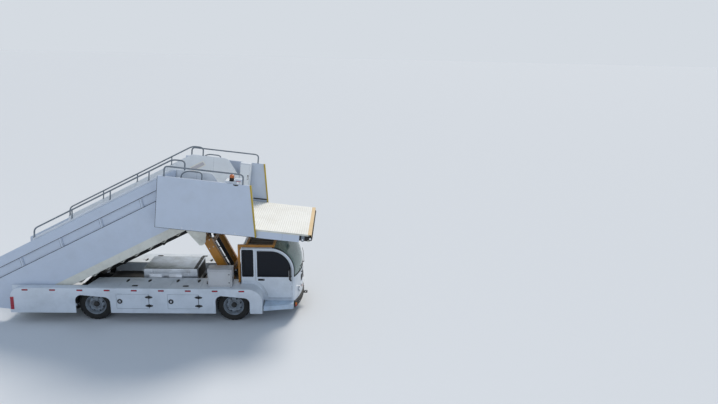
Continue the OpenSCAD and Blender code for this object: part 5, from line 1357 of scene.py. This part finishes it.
def roof_guard():
    z, x0, x1 = CAB_TOP + 0.3, CAB_REAR + 95, CAB_REAR + 780
    guard = Shape().prism([(x0, -720), (x1, -720), (x1, 720), (x0, 720)], z, z + 50, ochre, along="z",
                          holes=[[(x0 + 50, -670), (x0 + 50, 670), (x1 - 50, 670), (x1 - 50, -670)]])
    # Panel and ribs inside the frame in dark brown, which is painted shade from the landing above
    guard.block(x0 + 48, x1 - 48, -672, 672, z, z + 18, roof_painted_shade)
    for k in range(8):
        y = -590 + 168 * k
        guard.prism([(y - 22, z + 17), (y + 22, z + 17), (y + 14, z + 27), (y - 14, z + 27)], x0 + 60,
                    x1 - 60, roof_painted_shade, along="x")
    for sign in (-1, 1):
        low, high = span(sign, 660, 720)
        guard.block(CAB_REAR - 80, CAB_REAR - 35, low, high, DECK_Z + 0.3, z + 50, ochre)
        guard.block(CAB_REAR - 36, x0 + 1, low, high, z, z + 50, ochre)
        # Gusset, foot plate and bolts of the upright
        guard.prism([(CAB_REAR - 36, z + 1), (CAB_REAR + 10, z + 1), (CAB_REAR - 36, z - 110)],
                    sign * 690 - 4, sign * 690 + 4, ochre)
        guard.block(CAB_REAR - 92, CAB_REAR - 48, *span(sign, 645, 735), DECK_Z + 0.3, DECK_Z + 9, ochre)
        for y in (652, 728):
            guard.bolt((CAB_REAR - 70, sign * y, DECK_Z + 9), UP, 14, chrome)
        for x in (x0 + 25, (x0 + x1) / 2, x1 - 25):
            guard.bolt((x, sign * 695, z + 50), UP, 22, ochre)
    for k in range(5):
        guard.bolt((x1 - 25, -500 + 250 * k, z + 50), UP, 22, ochre)
    guard.done("roof_frame", "chassis", "ochre_paint", bevel=3, replaces=["roof_guard"])


def cab_step(side, sign):
    plan = [(FENDER_X + 25, CAB_Y - 60), (CAB_FRONT - 165, CAB_Y - 60), (CAB_FRONT - 165, CAB_Y + 190),
            (FENDER_X + 25, CAB_Y + 320)]
    step = Shape().prism(plan, CAB_FOOT - 125, CAB_FOOT - 5, step_enamel, along="z")
    step.rounded(10, 3, only=lambda e: max(v.co.z for v in e.verts) > CAB_FOOT - 6
                 and min(v.co.y for v in e.verts) > CAB_Y - 59 or min(v.co.y for v in e.verts) > CAB_Y)
    hollow = [(x + s, y - t) for (x, y), s, t in zip(plan, (10, -10, -10, 10), (10, 10, 12, 12))]
    inner = Shape().prism(hollow, CAB_FOOT - 140, CAB_FOOT - 15, step_enamel, along="z")
    step.carve("DIFFERENCE", inner)
    for x in (FENDER_X + 60, CAB_FRONT - 260):
        step.block(x, x + 60, 380, CAB_Y - 40, CAB_FOOT - 70, CAB_FOOT - 14, chassis_paint)
    # Punched grip holes with raised rims, and an edge strip
    for i in range(12):
        for j in range(4):
            x, y = FENDER_X + 75 + 52 * i, CAB_Y + 10 + 46 * j
            if y < CAB_Y + 300 - (x - FENDER_X) * 0.19:
                step.turned([(13, 0), (10, 4), (7, 4), (6, 0.5), (0, 0.5)], (x, y, CAB_FOOT - 5), UP,
                            step_enamel, 12)
    grips = Shape()
    lozenges(grips, FENDER_X + 45, CAB_FRONT - 175, CAB_Y - 55, CAB_Y - 10, CAB_FOOT - 5, step_enamel, 40)
    to_side(sign, step, grips)
    step.done(f"cab_step_{side}", "chassis", "step_paint", replaces=["cab_steps"], smooth=30)
    grips.done(f"cab_step_grip_{side}", "chassis", "step_paint")


def bumper():
    bar = Shape().prism(cab_ring(600, -20), 255, 420, chassis_paint, along="z")
    bar.rounded(14, 3)
    inner = Shape().prism(cab_ring(600, 40), 200, 500, chassis_paint, along="z")
    front = Shape().block(CAB_FRONT - 164.7, CAB_FRONT + 100, -900, 900, 100, 600, chassis_paint)
    bar.carve("DIFFERENCE", inner).carve("INTERSECT", front)
    for sign in (-1, 1):
        bar.block(4600, CAB_FRONT - 30, *span(sign, 300, 380), 290, 400, chassis_paint)
    # Rubber facing, its bolts, the towing plate with a collar round its bore, and a blank number plate
    ring = [(x, y) for x, y in cab_ring(600, -20) if abs(y) < 700 and x > CAB_FRONT - 300]
    back = [(x - 6, y) for x, y in reversed(ring)]
    bar.prism([(x + 7, y) for x, y in ring] + back, 318, 362, black_rubber, along="z")
    bar.prism(round_rect(CAB_FRONT - 25, CAB_FRONT + 120, -55, 55, 28), 300, 330, chassis_paint, along="z",
              holes=[arc(CAB_FRONT + 70, 0, 21, 0, 345, 23)])
    bar.ring(22, 32, 6, (CAB_FRONT + 70, 0, 330), UP, chrome, 32)
    bar.plate(120, 560, 372, 412, 5, CAB_FRONT + 2, CAB_FRONT + 9, lamp_lens, "x")
    for y in (-600, -300, 300, 600):
        bar.bolt((CAB_FRONT + 26 - (y / 600) ** 2 * 70, y, 340), AHEAD, 16, chrome)
    # Corner bracket with its amber lamp and red reflector
    for sign in (-1, 1):
        bar.plate(CAB_FRONT - 130, CAB_FRONT - 88, 300, 392, 6, *span(sign, CAB_Y + 8, CAB_Y + 22), ochre)
        low, high = span(sign, CAB_Y + 20, CAB_Y + 30)
        bar.plate(CAB_FRONT - 128, CAB_FRONT - 90, 346, 388, 8, low, high, amber_lens)
        bar.plate(CAB_FRONT - 128, CAB_FRONT - 90, 304, 340, 8, low, high, red_lens)
    bar.done("bumper_bar", "chassis", "dark_paint", bevel=1.2, replaces=["front_bumper"])


def lamps():
    lights = Shape()
    # Radius of the bowed front panel
    bow = 2530

    def field(z0, z1, near, far):
        """An upright strip off the sloping rear edge of the side body."""
        return [(REAR_X + (z - SKIRT_Z) * 32 / 408 - off, z)
                for z, off in ((z0, far), (z0, near), (z1, near), (z1, far))]
    for sign in (-1, 1):
        for angle, r, depth, glass in ((11.5, 75, 40, lamp_lens), (7, 40, 30, amber_lens)):
            a = radians(angle) * sign
            out = Vector((cos(a), sin(a), 0))
            foot = Vector((CAB_FRONT - bow, 0, 620)) + out * (bow + 0.3)
            lights.turned([(r - 9, 0), (r, 0), (r, depth * 0.6), (r - 4, depth * 0.75), (r - 9, depth * 0.6)],
                          foot, out, chrome, 40, closed=True)
            lights.turned([(r - 9, 1), (r - 9, depth * 0.55)]
                          + [((r - 9) * cos(radians(t)), depth * (0.55 + 0.42 * sin(radians(t))))
                             for t in range(15, 90, 15)] + [(0, depth * 0.97)], foot, out, glass, 40)
            for k in range(-3, 4):
                off = Vector((-out.y, out.x, 0)) * k * r * 0.23
                lights.rod(foot + off + Vector((0, 0, -r * 0.6 + abs(k) * 5)) + out * depth * 0.72,
                           foot + off + Vector((0, 0, r * 0.6 - abs(k) * 5)) + out * depth * 0.72, 1.6, glass,
                           6)
        # Rear lamp cluster: housing with red, amber and clear fields
        low, high = span(sign, 1040, 1080)
        lights.prism(field(320, 620, 0.3, 10), low, high, black_rubber)
        for z0, z1, glass in ((326, 406, lamp_lens), (412, 506, amber_lens), (512, 614, red_lens)):
            lights.prism(field(z0, z1, 9, 14), low + 4, high - 4, glass)
    lights.done("lamp_set", "chassis", "lamp_lens", bevel=1, replaces=["lamps"])


def beacon():
    x, y, z = FLOOR_X + 1150, -1095, FLOOR_Z + 1040
    case = stair_shape().turned([(54, 0.3), (54, 10), (50, 16), (50, 74), (52, 76), (0, 76)], (x, y, z), UP,
                                black_rubber, 40)
    case.turned([(50, 75), (52, 78), (51, 118), (46, 134), (34, 144), (16, 149), (0, 150)], (x, y, z), UP,
                amber_lens, 48, notch=lambda k, i: -1.4 if i % 2 and k < 3 else 0)
    case.block(x, x + 99, y - 20, y + 20, z + 0.3, z + 11, enamel)
    case.block(x + 75, x + 250, y - 45, y + 45, z + 0.3, z + 62, enamel)
    case.plate(x + 72.5, x + 252, y - 46, y + 46, 6, z + 48, z + 65, enamel, "z")
    case.plate(x + 96, x + 200, z + 10, z + 24, 4, y - 46.5, y - 44, red_lens)
    for bx in (x + 84, x + 240):
        for by in (y - 34, y + 34):
            case.rivet((bx, by, z + 64.5), UP, chrome, steps=10)
    case.tube([(x + 60, y + 26, z + 12), (x + 76, y + 26, z + 20)], 5, black_rubber, steps=10)
    case.done("beacon_case", "upper_flight", "amber_plastic", bevel=1.2, replaces=["beacon"])


engine_cover()
control_box()
cab_inside()
roof_guard()
for side, sign in SIDES:
    cab_step(side, sign)
bumper()
lamps()
beacon()

# Mast, rams, stringers and running gear

MAST = tilt_down((EYE_X, 0, EYE_Z)) - Vector((PIN_X, 0, PIN_Z))
MAST_LEN, MAST_TURN = MAST.length, atan2(MAST.z, MAST.x)


def on_mast(p):
    """Places a point given along the mast from its lower pin."""
    c, s = cos(MAST_TURN), sin(MAST_TURN)
    return Vector((PIN_X + p.x * c - p.z * s, p.y, PIN_Z + p.x * s + p.z * c))


def cylinder(shape, start, end, y, r, bore, finish):
    """Ram barrel along x: end cap, collar, seal ring and two port fittings with flats."""
    shape.turned([(bore, 18), (bore, end - start), (r + 6, end - start), (r + 6, end - start - 34),
                  (r + 2, end - start - 38), (r, end - start - 44), (r, 30), (r + 4, 26), (r + 4, 0), (0, 0),
                  (0, 18)], (start, y, 0), AHEAD, finish, 40)
    shape.turned([(bore - 12, 0), (r - 2, 0), (r - 2, 8), (bore - 6, 14)], (end, y, 0), AHEAD, black_rubber,
                 40, closed=True)
    for x in (start + 60, end - 70):
        shape.turned([(15, -4), (15, 16), (11, 20), (11, 30), (8, 34), (0, 34)], (x, y, r - 4), UP, chrome, 6)


def mast():
    outer_end = MAST_LEN - 140
    outer, inner = Shape(on_mast), Shape(on_mast)
    for sign in (-1, 1):
        y = sign * MAST_Y
        outer.prism(round_rect(y - 60, y + 60, -100, 100, 10, 3), 70, outer_end, ochre, along="x",
                    holes=[round_rect(y - 48, y + 48, -88, 88, 4, 2)])
        outer.prism(round_rect(y - 50, y + 50, -90, 90, 4, 2), 72, 119, ochre, along="x")
        # Collar and the screws of the wear pads
        outer.prism(round_rect(y - 67, y + 67, -107, 107, 12, 3), outer_end - 46, outer_end, ochre, along="x",
                    holes=[round_rect(y - 48, y + 48, -88, 88, 4, 2)])
        for x in (outer_end - 23, outer_end - 220, 420):
            for z in (-52, 52):
                for s in (-1, 1):
                    face = y + s * (67 if x > outer_end - 40 else 60)
                    outer.bolt((x, face, z), (0, s, 0), 20, chrome)
        # Eye, neck and gusset at the lower pin
        low, high = y - 60, y + 60
        outer.ring(25.3, 55, 120, (0, low, 0), LEFT, ochre, 40)
        outer.block(30, 71, low, high, -55, 55, ochre)
        outer.prism([(60, -56), (240, -102), (240, -99), (60, -52)], low + 8, high - 8, ochre)
        for s in (-1, 1):
            outer.turned([(46, 0), (46, 4), (30, 4), (30, 9), (0, 9)], (0, y + s * 60, 0), (0, s, 0),
                         chassis_paint, 32)
        # Inner beam with its pad, eye, neck and cheek plates, in a darker ochre that is painted shade
        inner.prism(round_rect(y - 43, y + 43, -83, 83, 6, 3), 150, MAST_LEN - 70, ochre_shade, along="x",
                    holes=[round_rect(y - 35, y + 35, -75, 75, 4, 2)])
        inner.block(150, 250, y - 47.5, y + 47.5, -87.5, 87.5, black_rubber)
        inner.ring(52, 75, 86, (MAST_LEN, y - 43, 0), LEFT, ochre_shade, 40)
        inner.block(MAST_LEN - 90, MAST_LEN - 53, y - 43, y + 43, -60, 60, ochre_shade)
        for s in (-1, 1):
            inner.prism([(MAST_LEN - 300, -84), (MAST_LEN - 60, -60), (MAST_LEN - 60, 60),
                         (MAST_LEN - 300, 84)], *sorted((y + s * 42, y + s * 48)), ochre_shade)
            inner.turned([(78, 0), (78, 5), (54, 5), (54, 0)], (MAST_LEN, y + s * 43, 0), (0, s, 0),
                         ochre_shade, 36, closed=True)
    # Cross bars under the case in the darker ochre of painted shade, with rubber pads
    for x in (200, outer_end - 160):
        outer.block(x, x + 80, -391, 391, -95, -50, ochre_shade)
        for k in range(-2, 3):
            outer.turned([(16, 0), (16, 3), (12, 3), (12, 1), (0, 1)], (x + 40, k * 140, -95), (0, 0, -1),
                         black_rubber, 20)
    inner.rod((MAST_LEN - 100, -408, 0), (MAST_LEN - 100, 408, 0), 28, ochre_shade, 32)
    outer.done("mast_case", "mast_lower", "ochre_paint", bevel=2, replaces=["mast_outer"])
    inner.done("mast_slide_beam", "mast_upper", "ochre_paint", bevel=2, replaces=["mast_inner"])
    barrels, rods = Shape(on_mast), Shape(on_mast)
    for sign in (-1, 1):
        y = sign * RAM_Y
        cylinder(barrels, 230, 230 + outer_end - 310, y, 46, 36, chassis_paint)
        barrels.tube([(300, y, 62), (300, y, 78), (700, y, 78), (1080, y, 78), (1080, y, 62)], 7, chrome,
                     bend=18, steps=10)
        for x in (520, 820):
            barrels.plate(y - 16, y + 16, 44, 90, 6, x, x + 20, black_rubber, "x")
        rods.rod((300, y, 0), (MAST_LEN - 130, y, 0), 28, chrome, 40)
        rods.ring(28.3, 45, 60, (MAST_LEN - 100, y - 30, 0), LEFT, chassis_paint, 36)
        rods.turned([(40, -52), (40, -20), (28, -14), (28, -60)], (MAST_LEN - 110, y, 0), AHEAD,
                    chassis_paint, 6, closed=True)
    barrels.done("lift_cylinders", "mast_lower", "dark_paint", bevel=1, replaces=["lift_barrels"])
    rods.done("lift_piston_rods", "mast_upper", "rod_chrome", bevel=0.8, replaces=["lift_rods"])


def slide_ram():
    """The ram under the stairs that pushes the upper flight out."""
    def along(p):
        start = Vector((-60, 0, lower_nose(-60) - 381))
        return tilt_down(start + Vector((p.x * cos(SLOPE) - p.z * sin(SLOPE), p.y,
                                         p.x * sin(SLOPE) + p.z * cos(SLOPE))))
    length = 2260 / cos(SLOPE)
    barrel = Shape(along)
    cylinder(barrel, 0, length, 0, 39, 30, chassis_paint)
    barrel.tube([(60, 0, 60), (60, 30, 74), (900, 44, 60), (2100, 44, 60), (length - 70, 20, 76),
                 (length - 70, 0, 62)], 7, black_rubber, bend=40, steps=10)
    for k in (5, 2):
        tie = (FLOOR_X - TREAD_RUN * k + TIE_OFF + 60) / cos(SLOPE)
        barrel.plate(-52, 52, -52, 52, 14, tie - 20, tie + 20, chassis_paint, "x")
        barrel.block(tie - 14, tie + 14, -30, 30, 44, 150, chassis_paint)
    barrel.done("slide_ram_barrel", "lower_flight", "dark_paint", bevel=1, replaces=["ram_barrel"])


def stringer_trim():
    trim = stair_shape()
    for sign in (-1, 1):
        for x, z, r, bore in ((PIVOT.x, PIVOT.z, 62, 25.5), (EYE_X, EYE_Z, 72, 30)):
            for face, out in ((945, 1), (910, -1)):
                trim.turned([(bore, 0), (r, 0), (r, 5), (r - 8, 8), (bore, 8)], (x, sign * face, z),
                            (0, sign * out, 0), cream, 40, closed=True)
            trim.bolts((x, sign * 951, z), (0, sign, 0), 46, 6, 11, chrome, start=15)
        # Flange along the lower edge with stiffening ribs
        x0, x1 = PIVOT.x + 345, 1965
        drop = -143  # from the line of the treads' edges
        trim.prism(strip(lower_nose, x0, x1, drop - 1, drop + 7), *span(sign, 884, 944), cream)
        for k in range(9):
            x = x0 + 60 + 360 * k * 0.92
            z = lower_nose(x) + drop
            trim.block(x, x + 8, *span(sign, 886, 911), z + 3, z + 150, cream)
    for k in (9, 5, 2):
        x, z = FLOOR_X - TREAD_RUN * k + TIE_OFF, FLOOR_Z - FLIGHT_DROP - TREAD_RISE * k - TIE_OFF
        for sign in (-1, 1):
            trim.turned([(31, 0), (44, 0), (44, 6), (31, 10)], (x, sign * 909, z), (0, -sign, 0), cream, 32,
                        closed=True)
    trim.done("stringer_trim", "lower_flight", "cream_paint", bevel=1.2)


def running_gear():
    springs = Shape()
    for x in (0, WHEELBASE):
        low = AXLE_Z + 55 if x == 0 else AXLE_Z - 20
        for sign in (-1, 1):
            y0, y1 = span(sign, 393, 457)
            for i in range(5):
                reach = 420 - 76 * i
                springs.block(x - reach, x + reach, y0, y1, low + 30.6 - 8.6 * i, low + 38 - 8.6 * i,
                              chassis_paint)
            for s in (-1, 1):
                eye = x + s * 404
                springs.ring(10, 24, 68, (eye, y0 - 2, low + 30), LEFT, chassis_paint, 24)
                springs.prism([(eye - 24, low + 30), (eye + 24, low + 30), (eye + 34, 560), (eye - 34, 560)],
                              *span(sign, RAIL_Y, RAIL_Y + 12), chassis_paint)
                for yy in (y0 + 4, y1 - 4):
                    springs.tube([(x + s * 46, yy, low - 10), (x + s * 46, yy, low + 62)], 7, chrome,
                                 steps=10)
            springs.block(x - 66, x + 66, y0 - 6, y1 + 6, low + 40, low + 54, chassis_paint)
    springs.done("leaf_spring_packs", "chassis", "dark_paint", bevel=1, replaces=["leaf_springs"])
    gear = Shape()
    # Cover and bolts of the differential, brake back plates, collars of the rear axle and frame bolts
    for s in (-1, 1):
        gear.turned([(60, 128), (118, 128), (124, 122), (124, 108), (100, 104)], (0, 0, AXLE_Z), (s, 0, 0),
                    chassis_paint, 48)
        gear.bolts((s * 127, 0, AXLE_Z), (s, 0, 0), 110, 12, 15, chrome)
        gear.turned([(56, 0), (124, 0), (124, 8), (116, 12), (116, 60)], (0, s * 694, AXLE_Z), (0, s, 0),
                    chassis_paint, 48)
        gear.turned([(60, 0), (72, 10), (72, 34), (60, 44)], (0, s * 600, AXLE_Z), (0, s, 0), chassis_paint,
                    32)
        for x in (-440, 20, 620, 1320, 1790, 2340, 2720, 3330):
            for z in (470, 590):
                gear.bolt((x, s * RAIL_Y, z), (0, s, 0), 20, chrome)
        for x in (-1480, -900, 470, 1494, 2600):
            for z in (536, 566) if x > 0 else (466, 514):
                gear.bolt((x + 30, s * 1100, z), AHEAD, 16, chrome)
        # Air and fuel lines along the rail
        for z, finish in ((545, black_rubber), (530, chrome)):
            gear.tube([(x, s * (RAIL_Y + 6), z) for x in (-520, 900, 2700)], 5, finish, steps=8)
        # Mast pin keepers
        for y, out in ((MAST_Y + 88, 1), (MAST_Y - 88, -1)):
            gear.ring(25.4, 44, 7, (PIN_X, s * y, PIN_Z), (0, s * out, 0), chassis_paint, 32)
    gear.done("chassis_details", "chassis", "dark_paint", bevel=0.8)
    # Support legs: foot plates, sleeves and bolts
    leg_z = 200
    for end, x, y in (("rear", -560, 760), ("front", 2480, 700)):
        legs = Shape()
        for sign in (-1, 1):
            foot = (x, sign * y, leg_z)
            legs.turned([(0, 0), (88, 0), (95, 4), (95, 12), (88, 16), (52, 20), (44, 34), (40, 36),
                         (40, 330), (45.7, 330), (45.7, 360), (0, 360)], foot, UP, chassis_paint, 48)
            legs.turned([(40.2, 60), (40.2, 128)], foot, UP, chrome, 48)
            legs.bolts((x, sign * y, leg_z + 17), UP, 66, 6, 14, chrome)
        legs.done(f"leg_set_{end}", f"legs_{end}", "dark_paint", bevel=1, replaces=[f"stabilizers_{end}"])


mast()
slide_ram()
stringer_trim()
running_gear()

# Stage, lights and camera

BACKDROP = "#D5DBE2"


def stage_floor():
    mat = bpy.data.materials.new("studio_floor")
    mat.use_nodes = True
    shader = mat.node_tree.nodes["Principled BSDF"]
    shader.inputs["Base Color"].default_value = linear("#E2E5E8")
    shader.inputs["Roughness"].default_value = 0.9
    shader.inputs["Specular IOR Level"].default_value = 0.1
    mesh = bpy.data.meshes.new("studio_floor")
    mesh.from_pydata([(-400, -400, 0), (400, -400, 0), (400, 400, 0), (-400, 400, 0)], [], [(0, 1, 2, 3)])
    mesh.materials.append(mat)
    obj = linked("studio_floor", mesh)


def studio_world():
    """A soft bluish sky that lights the object, seen and mirrored as the pale backdrop."""
    world = bpy.data.worlds.new("studio")
    world.use_nodes = True
    tree = world.node_tree
    sky = tree.nodes["Background"]
    sky.inputs["Color"].default_value = linear("#C6D8EE")
    sky.inputs["Strength"].default_value = 0.55
    seen = node(tree, "Background", Color=linear(BACKDROP), Strength=1.0)
    ray = node(tree, "LightPath")
    first = node(tree, "Math", {"operation": "ADD"}, i0=ray.outputs["Is Camera Ray"],
                 i1=ray.outputs["Is Glossy Ray"])
    either = node(tree, "Math", {"operation": "ADD"}, i0=first.outputs[0],
                  i1=ray.outputs["Is Transmission Ray"])
    mix = node(tree, "MixShader", Fac=either.outputs[0], i1=sky.outputs[0], i2=seen.outputs[0])
    tree.links.new(mix.outputs[0], tree.nodes["World Output"].inputs["Surface"])
    bpy.context.scene.world = world


def lamp(name, kind, place, aim, energy, size, colour):
    light = bpy.data.lights.new(name, kind)
    light.energy = energy
    light.color = linear(colour)[:3]
    if kind == "SUN":
        light.angle = radians(size)
    else:
        light.shape = "DISK"
        light.size = size
    obj = linked(name, light)
    obj.location = place
    obj.rotation_euler = (Vector(aim) - Vector(place)).to_track_quat("-Z", "Y").to_euler()


stage_floor()
studio_world()
lamp("key", "SUN", (5, 11, 13), (0, 0, 0), 2.3, 22, "#FFF7EC")
lamp("fill", "AREA", (-3, -16, 8), (0, 0, 1.5), 260, 10, "#E6EFFF")

# The camera stands where the photographer's did, with its heading, pitch and roll
YAW, PITCH, ROLL = radians(2.3487), radians(15.185), radians(1.4395)
forward = Vector((sin(YAW) * cos(PITCH), cos(YAW) * cos(PITCH), -sin(PITCH)))
level = Vector((cos(YAW), -sin(YAW), 0))
upright = level.cross(forward)
right = cos(ROLL) * level + sin(ROLL) * upright
up = cos(ROLL) * upright - sin(ROLL) * level
camera_data = bpy.data.cameras.new("camera")
camera_data.sensor_width = 36
camera_data.lens = 28.15
camera = linked("camera", camera_data)
pose = Matrix((right, up, -forward)).transposed().to_4x4()
pose.translation = Vector(in_frame((5591.8, -13244.8, 6290.4)))
camera.matrix_world = pose
bpy.context.scene.camera = camera
bpy.context.scene.view_settings.view_transform = "Standard"
